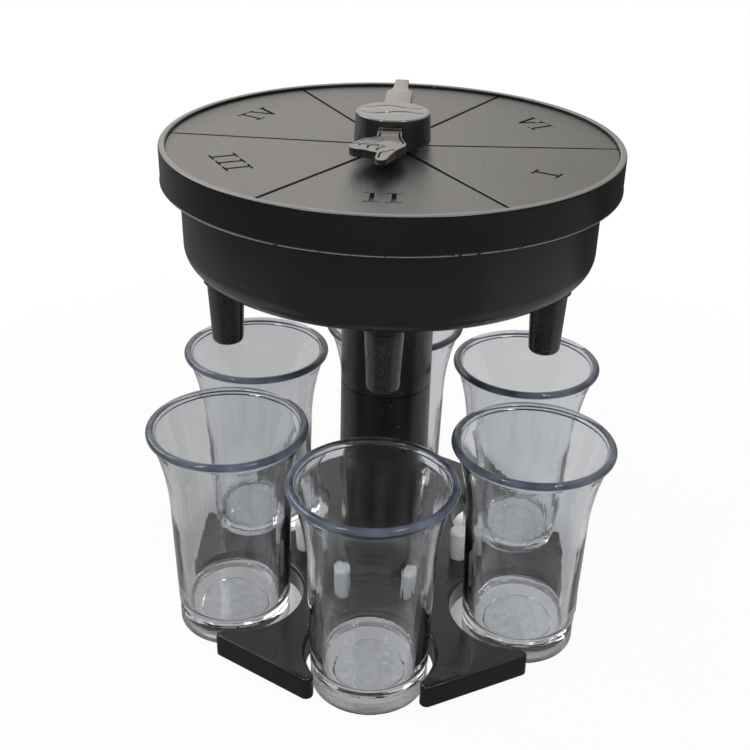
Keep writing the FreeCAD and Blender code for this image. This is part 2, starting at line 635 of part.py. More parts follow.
def make_cap():
    """Glossy hub over the pointer, with a window for the hand and one for the tail."""
    ledge_z = POINTER_TOP_Z + CAP_SEAT_GAP
    ceiling_z = CAP_TOP_Z - CAP_TOP
    outer = turned_points([(0, CAP_Z), (CAP_FOOT_R, CAP_Z), (CAP_TOP_R, CAP_TOP_Z), (0, CAP_TOP_Z)])
    outer = outer.makeFillet(CAP_EDGE_R, edges_at(outer, CAP_TOP_Z))
    ledge_r = POINTER_DISC_R - CAP_WALL
    inside = [
        cylinder(CAP_FOOT_R - CAP_WALL, CAP_Z - 1, ledge_z),
        cylinder(ledge_r, ledge_z - 1, ceiling_z)]
    window_top = POINTER_TOP_Z + WINDOW_RISE
    hand_half = WRIST_HALF + WINDOW_GAP
    tail_half = BOTTLE_HALF + WINDOW_GAP
    windows = [
        slab(-hand_half, hand_half, -CAP_FOOT_R - 1, -ledge_r, CAP_Z - 1, window_top),
        slab(-tail_half, tail_half, ledge_r, CAP_FOOT_R + 1, CAP_Z - 1, window_top)]
    return outer.cut(inside + windows)


def make_glass():
    """Shot glass on the object's axis: solid bottom, straight body, flared top and beaded rim."""
    foot_z = FOOT_GROOVE_Z
    groove_in = GLASS_FOOT_R - FOOT_GROOVE
    belly = (GLASS_BELLY_R, GLASS_BELLY_Z)
    neck = (GLASS_RIM_R - BEAD_HEIGHT / 2, GLASS_HEIGHT - BEAD_HEIGHT)
    flare_x = GLASS_BELLY_R + (neck[0] - GLASS_BELLY_R) * FLARE_START_R
    flare_z = GLASS_BELLY_Z + (neck[1] - GLASS_BELLY_Z) * FLARE_START_Z
    bead_r = GLASS_RIM_R - BEAD_WIDTH / 2
    bead_in = GLASS_RIM_R - BEAD_WIDTH
    bead_z = GLASS_HEIGHT - BEAD_HEIGHT / 2
    floor_corner = (GLASS_FOOT_R - GLASS_FOOT_WALL, GLASS_FLOOR + GLASS_FLOOR_ROUND)
    floor_flat = (floor_corner[0] - GLASS_FLOOR_ROUND, GLASS_FLOOR)
    inner_belly = (GLASS_BELLY_R - GLASS_WALL, GLASS_BELLY_Z)
    inner_flare = (flare_x - GLASS_WALL, flare_z + INNER_FLARE_LIFT)
    bead_bend = (bead_r - BEAD_WIDTH / 2 * math.sqrt(0.5), bead_z + BEAD_HEIGHT / 2 * math.sqrt(0.5))
    return turned_solid([
        edge_line((0, FOOT_RECESS), (FOOT_RECESS_R, FOOT_RECESS)),
        edge_line((FOOT_RECESS_R, FOOT_RECESS), (FOOT_RECESS_R, 0)),
        edge_line((FOOT_RECESS_R, 0), (GLASS_FOOT_R - FOOT_CHAMFER, 0)),
        edge_line((GLASS_FOOT_R - FOOT_CHAMFER, 0), (GLASS_FOOT_R, FOOT_CHAMFER)),
        edge_line((GLASS_FOOT_R, FOOT_CHAMFER), (GLASS_FOOT_R, foot_z - FOOT_GROOVE)),
        edge_line((GLASS_FOOT_R, foot_z - FOOT_GROOVE), (groove_in, foot_z)),
        edge_line((groove_in, foot_z), (GLASS_FOOT_R + FOOT_GROOVE / 2, foot_z + FOOT_GROOVE)),
        edge_line((GLASS_FOOT_R + FOOT_GROOVE / 2, foot_z + FOOT_GROOVE), belly),
        edge_arc(belly, (flare_x, flare_z), neck),
        edge_arc(neck, (GLASS_RIM_R, bead_z), (bead_r, GLASS_HEIGHT)),
        edge_arc((bead_r, GLASS_HEIGHT), bead_bend, (bead_in, bead_z)),
        edge_arc((bead_in, bead_z), inner_flare, inner_belly),
        edge_line(inner_belly, floor_corner),
        corner_arc(floor_corner, (floor_flat[0], floor_corner[1]), floor_flat),
        edge_line(floor_flat, (0, GLASS_FLOOR)),
        edge_line((0, GLASS_FLOOR), (0, FOOT_RECESS))])


def make_stopper():
    """Soft tapered plug, standing small end down in its hole."""
    top = STOPPER_Z + STOPPER_LENGTH
    plug = turned_points([
        (0, STOPPER_Z), (STOPPER_END_R, STOPPER_Z), (STOPPER_TOP_R, top), (0, top)])
    return plug.makeFillet(STOPPER_ROUND, edges_at(plug, top))


def moved_out(shape, radius, angle):
    """A copy moved out from the axis and turned to its place."""
    moved = shape.copy()
    moved.translate(V(radius, 0, 0))
    return at_angle(moved, angle)


def all_pieces():
    """Every piece of the dispenser by name."""
    pieces = {
        "base": make_base(),
        "column": make_column(),
        "column_screw": make_screw(
            SCREW_HEAD_R, SCREW_HEAD, SCREW_R, SCREW_LENGTH, BASE_HEIGHT - BASE_PLATE, 1),
        "bowl": make_bowl(),
        "lid": make_lid(),
        "spinner_washer": make_washer(),
        "spinner_screw": make_screw(
            AXLE_HEAD_R, AXLE_HEAD, AXLE_SCREW_R, AXLE_LENGTH, POST_TOP_Z, -1),
        "pointer": make_pointer(),
        "spinner_cap": make_cap()}
    glass = make_glass()
    stopper = make_stopper()
    for n in range(PLACES):
        pieces[f"glass_{n + 1}"] = moved_out(glass, GLASS_RING_R, place_angle(n))
        pieces[f"stopper_{n + 1}"] = moved_out(stopper, STOPPER_RING_R, between_angle(n))
    return pieces


def main():
    os.makedirs("parts", exist_ok=True)
    for name, shape in all_pieces().items():
        solids = len(shape.Solids)
        print(f"{name}: solids {solids}, valid {shape.isValid()}, volume {shape.Volume:.1f} mm3")
        shape.exportStep(f"parts/{name}.step")


main()
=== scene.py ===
import math

import bmesh
import bpy
from mathutils import Matrix, Vector

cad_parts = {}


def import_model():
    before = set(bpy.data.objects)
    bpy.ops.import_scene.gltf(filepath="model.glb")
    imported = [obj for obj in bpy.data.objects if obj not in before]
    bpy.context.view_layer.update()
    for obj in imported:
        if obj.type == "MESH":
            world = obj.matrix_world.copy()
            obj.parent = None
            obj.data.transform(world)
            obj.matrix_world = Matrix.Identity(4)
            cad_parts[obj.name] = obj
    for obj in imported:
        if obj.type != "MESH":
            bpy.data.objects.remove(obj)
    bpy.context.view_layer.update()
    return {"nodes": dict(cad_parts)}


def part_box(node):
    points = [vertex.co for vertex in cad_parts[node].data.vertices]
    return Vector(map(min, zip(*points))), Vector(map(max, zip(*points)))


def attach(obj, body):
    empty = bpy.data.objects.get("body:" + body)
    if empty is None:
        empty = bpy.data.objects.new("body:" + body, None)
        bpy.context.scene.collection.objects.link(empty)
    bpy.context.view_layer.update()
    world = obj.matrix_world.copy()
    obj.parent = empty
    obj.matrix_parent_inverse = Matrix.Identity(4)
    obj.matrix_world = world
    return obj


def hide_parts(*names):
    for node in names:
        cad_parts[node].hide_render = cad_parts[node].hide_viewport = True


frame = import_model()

# Party shot dispenser: the visible pieces in their finishes, the studio and the camera.
# Pieces are drawn in millimetres in the object's own frame and scaled to metres when they are finished.

MM = 0.001

PLACES = 6
FIRST_PLACE = -30.0          # degrees about +Z; the places run clockwise
TURN_STEPS = 144             # facets round a turned piece
SMOOTH_ANGLE = 35.0
FINE_ANGLE = 12.0            # keeps a flat face flat beside its rounded edge


def box_mm(node):
    """Lowest and highest corners of a CAD node, in millimetres."""
    low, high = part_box(node)
    return low / MM, high / MM


lid_low, lid_high = box_mm("lid")
cap_low, cap_high = box_mm("spinner_cap")
pointer_low, pointer_high = box_mm("pointer")
glass_low, glass_high = box_mm("glass_2")
stopper_low, stopper_high = box_mm("stopper_1")

# Dial and lid
LID_R = lid_high.x
SKIRT_Z = lid_low.z
SKIRT_WALL = 2.2
SKIRT_ROUND = 0.35           # outer lower edge
SKIRT_CHAMFER = 0.3          # inner lower edge
RIM_HEIGHT = 9.9             # above the skirt's lower edge
RIM_RAISE = 1.0              # above the dial's edge
RIM_WIDTH = 2.0
RIM_ROUND = 0.7
RIM_INNER_ROUND = 0.55
RIM_TOP = SKIRT_Z + RIM_HEIGHT
DIAL_EDGE_Z = RIM_TOP - RIM_RAISE
DISH = 1.0                   # the dial's middle lies this far below its edge
DISH_R = 8.0                 # level middle, under the spinner
DIAL_PLATE = 2.4
ENGRAVED = 0.9               # depth of the grooves and numerals
LID_TURN = 0.7               # the lid stands turned a little on the bowl, in degrees
BOSS_R = 6.0                 # plain middle of the dial, without grooves
GROOVE = 1.0
GROOVE_EDGE = 0.14           # rounding along grooves and numerals
DIAL_GRID = 6.0              # spacing of the cuts that let a sector follow the dish
SECTOR_GAP = 0.05            # keeps a sector off the walls of its recess
SECTOR_SUNK = 0.2            # a sector reaches this far below the recess's floor
FLASH = 0.16                 # fine lip left along the skirt's lower edge
FLASH_FOOT = 0.25            # its heights above that edge: end of the edge's rounding,
FLASH_BEND = 0.4             # end of its full width,
FLASH_TOP = 0.55             # and end of its slope
LOCATING_OUT = 54.6          # ring under the lid that drops into the bowl
LOCATING_IN = 53.0
LOCATING_DEPTH = 3.0

# Numerals, tops outward
NUMERAL_HEIGHT = 7.2
NUMERAL_R = 46.1             # from the axis to their middle
STEM = 1.05
SERIF_WIDTH = 4.0
SERIF = 0.55
STEM_STEP = 5.2
V_STEP = 6.3                 # from a V's middle to the stem beside it
V_ARM = (1.95, 3.05)         # half widths of a V's arms at their serifs, inside and outside
V_SERIF = (1.1, 4.0)         # and of the serifs
V_POINT = 0.5                # half width of its point
V_NOTCH = 1.8                # from the point up to where the arms part
NUMERALS = ("I", "II", "III", "IV", "V", "VI")

# Glasses
GLASS_RING_R = -(glass_low.y + glass_high.y) / 2     # glass_2 stands in front, on -Y
GLASS_HEIGHT = glass_high.z
RIM_R = (glass_high.x - glass_low.x) / 2
FOOT_R = RIM_R - 6.4
BELLY_R = RIM_R - 5.5
BELLY_Z = 38.0
NECK_R = RIM_R - 1.2
NECK_Z = GLASS_HEIGHT - 2.4
FLARE_POWER = 2.14
WALL = 1.7
FOOT_WALL = 2.8              # the wall thickens towards the floor
GLASS_FLOOR = 6.25
FLOOR_ROUND = 2.8
FOOT_ROUND = 0.6
UNDER_R = 10.8               # shallow hollow under the solid foot
UNDER = 0.5
UNDER_SLOPE = 0.4
BEAD_HALF = 1.25
BEAD_HALF_HEIGHT = 1.2
FOOT_DULL = 4.2              # the foot's side is dull below this height
FOOT_DULL_FADE = 0.5
STEP_Z = 6.9                 # the body steps out over the solid foot
STEP_OUT = 0.18
STEP_GROOVE = 0.28           # depth of the fine groove under the step
STEP_GROOVE_Z = (-0.15, 0.1)                    # and its floor's heights, from STEP_Z
STEP_SLOPE = 0.5             # the step and its groove run out this far above and below
BODY_RINGS = 34
PAINTED_RING_HALF = 0.8             # grey ring in the bead, painted light that stands in for what the thick clear rim refracts
PAINTED_RING_THICK = 0.12
PAINTED_RING_TILT = math.radians(35)

# Stoppers
STOPPER_FOOT_R = 1.9         # flat of the lower end
STOPPER_FOOT_ROUND = 0.4
STOPPER_HEAD_ROUND = 1.1
STOPPER_DIMPLE = 0.15        # the head's middle is sunk this far
STOPPER_DIMPLE_EDGE = 0.05   # and this far at STOPPER_DIMPLE_SHARE of its radius
STOPPER_DIMPLE_SHARE = 0.4

# Nozzles, between these heights
NOZZLE_LOW = 93.0
NOZZLE_HIGH = 109.0

# Spinner
POINTER_TOP = pointer_high.z
POINTER_THICK = 2.5
HAND_THICK = 2.2
FINGER_START = -26.0         # the finger thins from here to its tip
FINGER_RUN = 8.0
FINGER_THIN = 0.8
DISC_R = 8.1                 # pointer's disc under the cap
SLEEVE_R = 5.5
RUN_GAP = 0.06               # sleeve on its post
POST_R = 2.6
POST_RISE = 0.3              # the post ends this far above the pointer
BORE_R = 1.1                 # axle screw's bore
BORE_DEPTH = 7.0             # from the pointer's top
CAP_TOP_R = 10.0
CAP_FOOT_R = cap_high.x
CAP_WALL = 1.0
CAP_ROUND = 0.5
CAP_CHAMFER = (0.2, 0.3)     # width and height along the lower edge
CAP_RINGS = 46
WAVES = ((4.6, 1.3, 2.2), (-0.9, 1.1, 0.5))     # middle, swing and phase of each
WAVE_DEPTH = 0.16
WAVE_TURN = 0.42             # radians for each millimetre
WAVE_FOOT = 2.6              # a wave's step runs out over this width
WAVE_FADE = 1.2              # and the waves over this one, towards the cap's edge
HAND_WINDOW = 3.0            # half widths of the cap's windows
TAIL_WINDOW = 4.1
WINDOW_TOP = POINTER_TOP + 1.5
EDGE_ROUND = 0.3             # rounding along the tail's edges
BOTTLE_HALF = 3.8            # tail: half width of the bottle's body
BOTTLE_ROOT = 4.0            # which runs from here
SHOULDER_Y = 33.6            # to here
SHOULDER = (1.5, 2.6)        # width and length of its rounding
BOTTLE_NECK = ((2.45, 37.6), (2.25, 39.5), (2.05, 47.6))
MOUTH_LENGTH = 1.0
MOUTH_ROUND = 0.8
HAND_EDGE = 0.12             # rounding along the hand's edges and lines
RELIEF_GRID = 0.5            # spacing of the cuts that let the hand carry relief
LINE_DEPTH = 0.9
LINE_HALF = 0.22             # half width of a line's floor
CORE_INSET = 0.05            # the hand's core is this much smaller than its plate
WRIST_END = 12.9             # the wrist climbs from here to the cap's window
WRIST_RUN = 2.5
WRIST_RISE = 1.45


# ---------------------------------------------------------------- shaping helpers


def arc(centre, radius, start, end, steps=8):
    """Points along an arc; angles in degrees. The radius may be a pair for an ellipse."""
    across, along = radius if isinstance(radius, tuple) else (radius, radius)
    turns = [math.radians(start + (end - start) * n / steps) for n in range(steps + 1)]
    return [(centre[0] + across * math.cos(t), centre[1] + along * math.sin(t)) for t in turns]


def turned(profile, steps=TURN_STEPS):
    """A shell of revolution about Z from points of radius and height."""
    bm = bmesh.new()
    verts = [bm.verts.new((r, 0, z)) for r, z in profile]
    edges = [bm.edges.new(pair) for pair in zip(verts, verts[1:])]
    bmesh.ops.spin(
        bm, geom=verts + edges, axis=(0, 0, 1), cent=(0, 0, 0), angle=2 * math.pi, steps=steps, use_merge=True)
    bmesh.ops.remove_doubles(bm, verts=bm.verts, dist=1e-4)
    bmesh.ops.recalc_face_normals(bm, faces=bm.faces)
    return bm


def moved(bm, radius, angle):
    """Moves a shape out from the axis and turns it to its place."""
    matrix = Matrix.Rotation(math.radians(angle), 4, "Z") @ Matrix.Translation((radius, 0, 0))
    bmesh.ops.transform(bm, matrix=matrix, verts=bm.verts)
    return bm


def plate(outlines, low, high, edge_round, inset=0.0):
    """A plate between two heights from closed outlines; an outline inside another is a hole."""
    curve = bpy.data.curves.new("outline", "CURVE")
    curve.dimensions = "2D"
    curve.fill_mode = "BOTH"
    curve.extrude = (high - low) / 2 - edge_round
    curve.bevel_depth = edge_round
    curve.bevel_resolution = 2
    curve.offset = -edge_round - inset
    for outline in outlines:
        spline = curve.splines.new("POLY")
        spline.points.add(len(outline) - 1)
        for point, (x, y) in zip(spline.points, outline):
            point.co = (x, y, 0, 1)
        spline.use_cyclic_u = True
    holder = bpy.data.objects.new("outline", curve)
    mesh = bpy.data.meshes.new_from_object(holder)
    bm = bmesh.new()
    bm.from_mesh(mesh)
    bmesh.ops.remove_doubles(bm, verts=bm.verts, dist=1e-4)
    bmesh.ops.recalc_face_normals(bm, faces=bm.faces)
    bmesh.ops.translate(bm, vec=(0, 0, (low + high) / 2), verts=bm.verts)
    bpy.data.objects.remove(holder)
    bpy.data.curves.remove(curve)
    bpy.data.meshes.remove(mesh)
    return bm


def gridded(bm, step):
    """Cuts a plate by planes along X and Y, so that it can bend or carry relief."""
    for axis in (0, 1):
        normal = (1, 0, 0) if axis == 0 else (0, 1, 0)
        low = min(v.co[axis] for v in bm.verts)
        high = max(v.co[axis] for v in bm.verts)
        for n in range(1, math.ceil((high - low) / step)):
            point = [0, 0, 0]
            point[axis] = low + n * step
            geometry = bm.verts[:] + bm.edges[:] + bm.faces[:]
            bmesh.ops.bisect_plane(bm, geom=geometry, dist=1e-5, plane_co=point, plane_no=normal)
    return bm


def added(bm, other):
    """Adds another shape's shells to this one."""
    mesh = bpy.data.meshes.new("part")
    other.to_mesh(mesh)
    other.free()
    bm.from_mesh(mesh)
    bpy.data.meshes.remove(mesh)
    return bm


def finished(name, bm, material, body, nodes=(), smooth=SMOOTH_ANGLE):
    """Scales a shape to metres and makes it a piece that rides on its body."""
    bmesh.ops.scale(bm, vec=(MM, MM, MM), verts=bm.verts)
    mesh = bpy.data.meshes.new(name)
    bm.to_mesh(mesh)
    bm.free()
    mesh.shade_smooth()
    mesh.set_sharp_from_angle(angle=math.radians(smooth))
    piece = bpy.data.objects.new(name, mesh)
    bpy.context.scene.collection.objects.link(piece)
    mesh.materials.append(material)
    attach(piece, body)
    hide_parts(*nodes)
    return piece


def place_angle(number):
    """Angle of a glass, its nozzle and its numeral."""
    return FIRST_PLACE - number * 360.0 / PLACES


def between_angle(number):
    """Angle of an arm of the base, its stopper and a groove of the dial."""
    return place_angle(number) + 180.0 / PLACES


# ---------------------------------------------------------------- shader groups


def group_tree(name, inputs, outputs):
    """A shader node group with its sockets and its two end nodes."""
    tree = bpy.data.node_groups.new(name, "ShaderNodeTree")
    for socket, kind, value in inputs:
        made = tree.interface.new_socket(socket, in_out="INPUT", socket_type=kind)
        if value is not None:
            made.default_value = value
    for socket, kind in outputs:
        tree.interface.new_socket(socket, in_out="OUTPUT", socket_type=kind)
    return tree, tree.nodes.new("NodeGroupInput"), tree.nodes.new("NodeGroupOutput")


def noise(tree, vector, scale, detail, roughness):
    """A noise texture; the scale is a number or a socket."""
    node = tree.nodes.new("ShaderNodeTexNoise")
    tree.links.new(vector, node.inputs["Vector"])
    if isinstance(scale, (int, float)):
        node.inputs["Scale"].default_value = scale
    else:
        tree.links.new(scale, node.inputs["Scale"])
    node.inputs["Detail"].default_value = detail
    node.inputs["Roughness"].default_value = roughness
    return node.outputs["Fac"]


def math_node(tree, operation, first, second=0.5):
    """One calculation on one or two values, each a socket or a number."""
    node = tree.nodes.new("ShaderNodeMath")
    node.operation = operation
    for socket, value in zip(node.inputs, (first, second)):
        if isinstance(value, (int, float)):
            socket.default_value = value
        else:
            tree.links.new(value, socket)
    return node.outputs[0]


def remap(tree, value, from_low, from_high, to_low=0.0, to_high=1.0, smooth=False):
    """A value carried from one range to another; the bounds are sockets or numbers."""
    node = tree.nodes.new("ShaderNodeMapRange")
    node.interpolation_type = "SMOOTHSTEP" if smooth else "LINEAR"
    tree.links.new(value, node.inputs["Value"])
    bounds = {"From Min": from_low, "From Max": from_high, "To Min": to_low, "To Max": to_high}
    for socket, bound in bounds.items():
        if isinstance(bound, (int, float)):
            node.inputs[socket].default_value = bound
        else:
            tree.links.new(bound, node.inputs[socket])
    return node.outputs["Result"]


def past(tree, value, edges):
    """0 up to the first edge, 1 from the second, and a soft step between."""
    return remap(tree, value, *edges, smooth=True)


def before(tree, value, edges):
    """1 up to the first edge, 0 from the second, and a soft step between."""
    return remap(tree, value, *edges, 1.0, 0.0, smooth=True)


def mixed(tree, factor, first, second):
    """A mix of two colours, each a socket or a colour."""
    node = tree.nodes.new("ShaderNodeMix")
    node.data_type = "RGBA"
    tree.links.new(factor, node.inputs["Factor"])
    for socket, value in ((node.inputs["A"], first), (node.inputs["B"], second)):
        if isinstance(value, tuple):
            socket.default_value = value
        else:
            tree.links.new(value, socket)
    return node.outputs["Result"]


def parts_of(tree, vector):
    """The X, Y and Z of a point or direction."""
    parts = tree.nodes.new("ShaderNodeSeparateXYZ")
    tree.links.new(vector, parts.inputs["Vector"])
    return [parts.outputs[axis] for axis in "XYZ"]


def ray_share(tree, name):
    """1 for the named kind of ray, otherwise 0."""
    return tree.nodes.new("ShaderNodeLightPath").outputs[name]


def make_moulded_group():
    """Moulded plastic: slow flow marks and fine grain."""
    tree, start, end = group_tree(
        "moulded plastic",
        [("Vector", "NodeSocketVector", None), ("Grain Scale", "NodeSocketFloat", 2500.0),
         ("Flow Scale", "NodeSocketFloat", 30.0), ("Dark", "NodeSocketColor", (0.02, 0.02, 0.02, 1)),
         ("Light", "NodeSocketColor", (0.04, 0.04, 0.04, 1)), ("Rough Low", "NodeSocketFloat", 0.3),
         ("Rough High", "NodeSocketFloat", 0.45)],
        [("Color", "NodeSocketColor"), ("Roughness", "NodeSocketFloat"), ("Height", "NodeSocketFloat")])
    vector = start.outputs["Vector"]
    flow = noise(tree, vector, start.outputs["Flow Scale"], 4.0, 0.55)
    grain = noise(tree, vector, start.outputs["Grain Scale"], 2.0, 0.6)
    blend = math_node(tree, "ADD", math_node(tree, "MULTIPLY", flow, 0.65), math_node(tree, "MULTIPLY", grain, 0.35))
    spread = remap(tree, blend, 0.35, 0.65)
    tree.links.new(mixed(tree, spread, start.outputs["Dark"], start.outputs["Light"]), end.inputs["Color"])
    rough = remap(tree, flow, 0.3, 0.7, start.outputs["Rough Low"], start.outputs["Rough High"])
    tree.links.new(rough, end.inputs["Roughness"])
    tree.links.new(grain, end.inputs["Height"])
    return tree


def make_speck_group():
    """Small separate specks: dust on a dark face, dull spots on a clear one."""
    tree, start, end = group_tree(
        "specks",
        [("Vector", "NodeSocketVector", None), ("Scale", "NodeSocketFloat", 600.0),
         ("Size", "NodeSocketFloat", 0.12), ("Share", "NodeSocketFloat", 0.1)],
        [("Mask", "NodeSocketFloat")])
    cell = tree.nodes.new("ShaderNodeTexVoronoi")
    tree.links.new(start.outputs["Vector"], cell.inputs["Vector"])
    tree.links.new(start.outputs["Scale"], cell.inputs["Scale"])
    chosen = tree.nodes.new("ShaderNodeSeparateColor")
    tree.links.new(cell.outputs["Color"], chosen.inputs["Color"])
    kept = math_node(tree, "LESS_THAN", chosen.outputs["Red"], start.outputs["Share"])
    size = math_node(tree, "MULTIPLY", chosen.outputs["Green"], start.outputs["Size"])
    near = math_node(tree, "LESS_THAN", cell.outputs["Distance"], size)
    tree.links.new(math_node(tree, "MULTIPLY", kept, near), end.inputs["Mask"])
    return tree


MOULDED = make_moulded_group()
SPECKS = make_speck_group()


# ---------------------------------------------------------------- materials


def new_material(name):
    """A material with its tree, its Principled node and the object coordinates."""
    material = bpy.data.materials.new(name)
    material.use_nodes = True
    tree = material.node_tree
    coordinates = tree.nodes.new("ShaderNodeTexCoord").outputs["Object"]
    return material, tree, tree.nodes["Principled BSDF"], coordinates


def use_group(tree, group, vector, **values):
    """Places a group; a keyword's underscores stand for spaces."""
    node = tree.nodes.new("ShaderNodeGroup")
    node.node_tree = group
    tree.links.new(vector, node.inputs["Vector"])
    for name, value in values.items():
        node.inputs[name.replace("_", " ")].default_value = value
    return node


def bumped(tree, shader, height, strength, distance):
    """Gives a shader relief from a height; the distance is in metres."""
    bump = tree.nodes.new("ShaderNodeBump")
    bump.inputs["Strength"].default_value = strength
    bump.inputs["Distance"].default_value = distance
    tree.links.new(height, bump.inputs["Height"])
    tree.links.new(bump.outputs["Normal"], shader.inputs["Normal"])


def grey(value, warm=0.0):
    """A near-neutral colour; warm above 0 leans to brown, below 0 to blue."""
    return (value * (1 + warm), value, value * (1 - warm), 1)


CLEAR_TINT = (0.95, 0.96, 0.975, 1)
BEAD_TINT = (0.86, 0.89, 0.96, 1)
SHADOW_TINT = (0.8, 0.81, 0.82, 1)              # what a glass lets through to its shadow
UNDER_TINTS = ((0.66, 0.68, 0.7, 1), (0.9, 0.92, 0.94, 1))
# painted light: tones of the grey ring that stands in for what a glass's clear rim refracts
PAINTED_RING_TINTS = ((0.06, 0.075, 0.115, 1), (0.2, 0.23, 0.29, 1))
SILICONE_TINTS = ((0.92, 0.94, 0.91, 1), (0.95, 0.96, 0.94, 1))


def moulded_plastic(
        name, dark, light, rough_low, rough_high, grain_scale=1800.0, grain_depth=0.003, specular=0.5, ior=1.5,
        marks=()):
    """A dark moulded finish with dust specks on it; its grain's depth is in millimetres.

    Marks are lighter places, some painted highlights and sheen, some speckled texture: lowest and highest Z in
    millimetres, their share, their grain and their colour.
    """
    material, tree, shader, vector = new_material(name)
    body = use_group(
        tree, MOULDED, vector, Grain_Scale=grain_scale, Dark=dark, Light=light, Rough_Low=rough_low,
        Rough_High=rough_high)
    dust = use_group(tree, SPECKS, vector, Scale=420.0, Size=0.16, Share=0.05)
    colour = mixed(tree, dust.outputs["Mask"], body.outputs["Color"], grey(0.16))
    height = parts_of(tree, vector)[2]
    for low, high, share, scale, tone in marks:
        patches = noise(tree, vector, scale, 4.0, 0.7)
        shown = math_node(tree, "GREATER_THAN", patches, 1.0 - share)
        shown = math_node(tree, "MULTIPLY", shown, math_node(tree, "GREATER_THAN", height, low * MM))
        shown = math_node(tree, "MULTIPLY", shown, math_node(tree, "LESS_THAN", height, high * MM))
        colour = mixed(tree, shown, colour, tone)
    tree.links.new(colour, shader.inputs["Base Color"])
    tree.links.new(body.outputs["Roughness"], shader.inputs["Roughness"])
    bumped(tree, shader, body.outputs["Height"], 1.0, grain_depth * MM)
    shader.inputs["Specular IOR Level"].default_value = specular
    shader.inputs["IOR"].default_value = ior
    return material


def clear_styrene():
    """Clear moulded plastic: slightly wavy, bluish at the bead, dull round the foot, mottled underneath."""
    material, tree, shader, vector = new_material("clear styrene")
    streaks = tree.nodes.new("ShaderNodeMapping")
    streaks.inputs["Scale"].default_value = (1, 1, 0.12)
    tree.links.new(vector, streaks.inputs["Vector"])
    waves = noise(tree, streaks.outputs["Vector"], 220.0, 3.0, 0.55)
    smears = noise(tree, vector, 160.0, 4.0, 0.6)
    specks = use_group(tree, SPECKS, vector, Scale=330.0, Size=0.1, Share=0.12)
    height = parts_of(tree, vector)[2]
    foot = before(tree, height, (FOOT_DULL * MM, (FOOT_DULL + FOOT_DULL_FADE) * MM))
    foot = math_node(tree, "MULTIPLY", foot, math_node(tree, "GREATER_THAN", height, (UNDER + 0.2) * MM))
    under = math_node(tree, "COMPARE", height, UNDER * MM)
    under.node.inputs[2].default_value = 0.1 * MM
    pebbles = remap(tree, noise(tree, vector, 380.0, 3.0, 0.6), 0.35, 0.65)
    bead = past(tree, height, (NECK_Z * MM, (NECK_Z + 1.0) * MM))
    rough = remap(tree, smears, 0.45, 0.75, 0.015, 0.07)
    rough = math_node(tree, "MAXIMUM", rough, math_node(tree, "MULTIPLY", specks.outputs["Mask"], 0.6))
    rough = math_node(tree, "MAXIMUM", rough, math_node(tree, "MULTIPLY", foot, 0.4))
    tree.links.new(rough, shader.inputs["Roughness"])
    colour = mixed(tree, under, mixed(tree, bead, CLEAR_TINT, BEAD_TINT), mixed(tree, pebbles, *UNDER_TINTS))
    tree.links.new(colour, shader.inputs["Base Color"])
    shader.inputs["IOR"].default_value = 1.57
    shader.inputs["Transmission Weight"].default_value = 1.0
    bumped(tree, shader, waves, 0.2, 0.3 * MM)
    clear = tree.nodes.new("ShaderNodeBsdfTransparent")
    clear.inputs["Color"].default_value = SHADOW_TINT
    mix = tree.nodes.new("ShaderNodeMixShader")
    tree.links.new(ray_share(tree, "Is Shadow Ray"), mix.inputs["Fac"])
    tree.links.new(shader.outputs["BSDF"], mix.inputs[1])
    tree.links.new(clear.outputs["BSDF"], mix.inputs[2])
    tree.links.new(mix.outputs["Shader"], tree.nodes["Material Output"].inputs["Surface"])
    return material


def painted_rim_light():
    """Painted light for the thick clear rim: blue-grey with pale wisps, standing in for what the rim refracts."""
    material, tree, shader, vector = new_material("painted rim light")
    cloud = noise(tree, vector, 110.0, 2.0, 0.45)
    wisps = remap(tree, cloud, 0.35, 0.65)
    tree.links.new(mixed(tree, wisps, *PAINTED_RING_TINTS), shader.inputs["Base Color"])
    tree.links.new(remap(tree, cloud, 0.3, 0.7, 0.4, 0.6), shader.inputs["Roughness"])
    bumped(tree, shader, cloud, 0.1, 0.1 * MM)
    return material


def silicone():
    """Translucent white silicone with a dull skin."""
    material, tree, shader, vector = new_material("stopper silicone")
    cloud = noise(tree, vector, 240.0, 3.0, 0.5)
    colour = mixed(tree, remap(tree, cloud, 0.35, 0.65), *SILICONE_TINTS)
    tree.links.new(colour, shader.inputs["Base Color"])
    tree.links.new(remap(tree, cloud, 0.3, 0.7, 0.35, 0.5), shader.inputs["Roughness"])
    shader.inputs["Subsurface Weight"].default_value = 0.4
    shader.inputs["Subsurface Radius"].default_value = (1, 1, 1)
    shader.inputs["Subsurface Scale"].default_value = 2 * MM
    bumped(tree, shader, cloud, 0.1, 0.05 * MM)
    return material


def zinc():
    """Zinc-plated steel with a fine turned grain."""
    material, tree, shader, vector = new_material("zinc plate")
    grain = noise(tree, vector, 1800.0, 4.0, 0.6)
    tree.links.new(mixed(tree, grain, grey(0.45), grey(0.62, -0.02)), shader.inputs["Base Color"])
    tree.links.new(remap(tree, grain, 0.3, 0.7, 0.25, 0.4), shader.inputs["Roughness"])
    shader.inputs["Metallic"].default_value = 1.0
    bumped(tree, shader, grain, 0.1, 0.02 * MM)
    return material


def washer_plastic():
    """Plain pale plastic of the flat washer."""
    material, tree, shader, vector = new_material("washer plastic")
    cloud = noise(tree, vector, 500.0, 3.0, 0.5)
    tree.links.new(mixed(tree, cloud, grey(0.5), grey(0.62)), shader.inputs["Base Color"])
    tree.links.new(remap(tree, cloud, 0.3, 0.7, 0.3, 0.45), shader.inputs["Roughness"])
    return material


# ---------------------------------------------------------------- lid


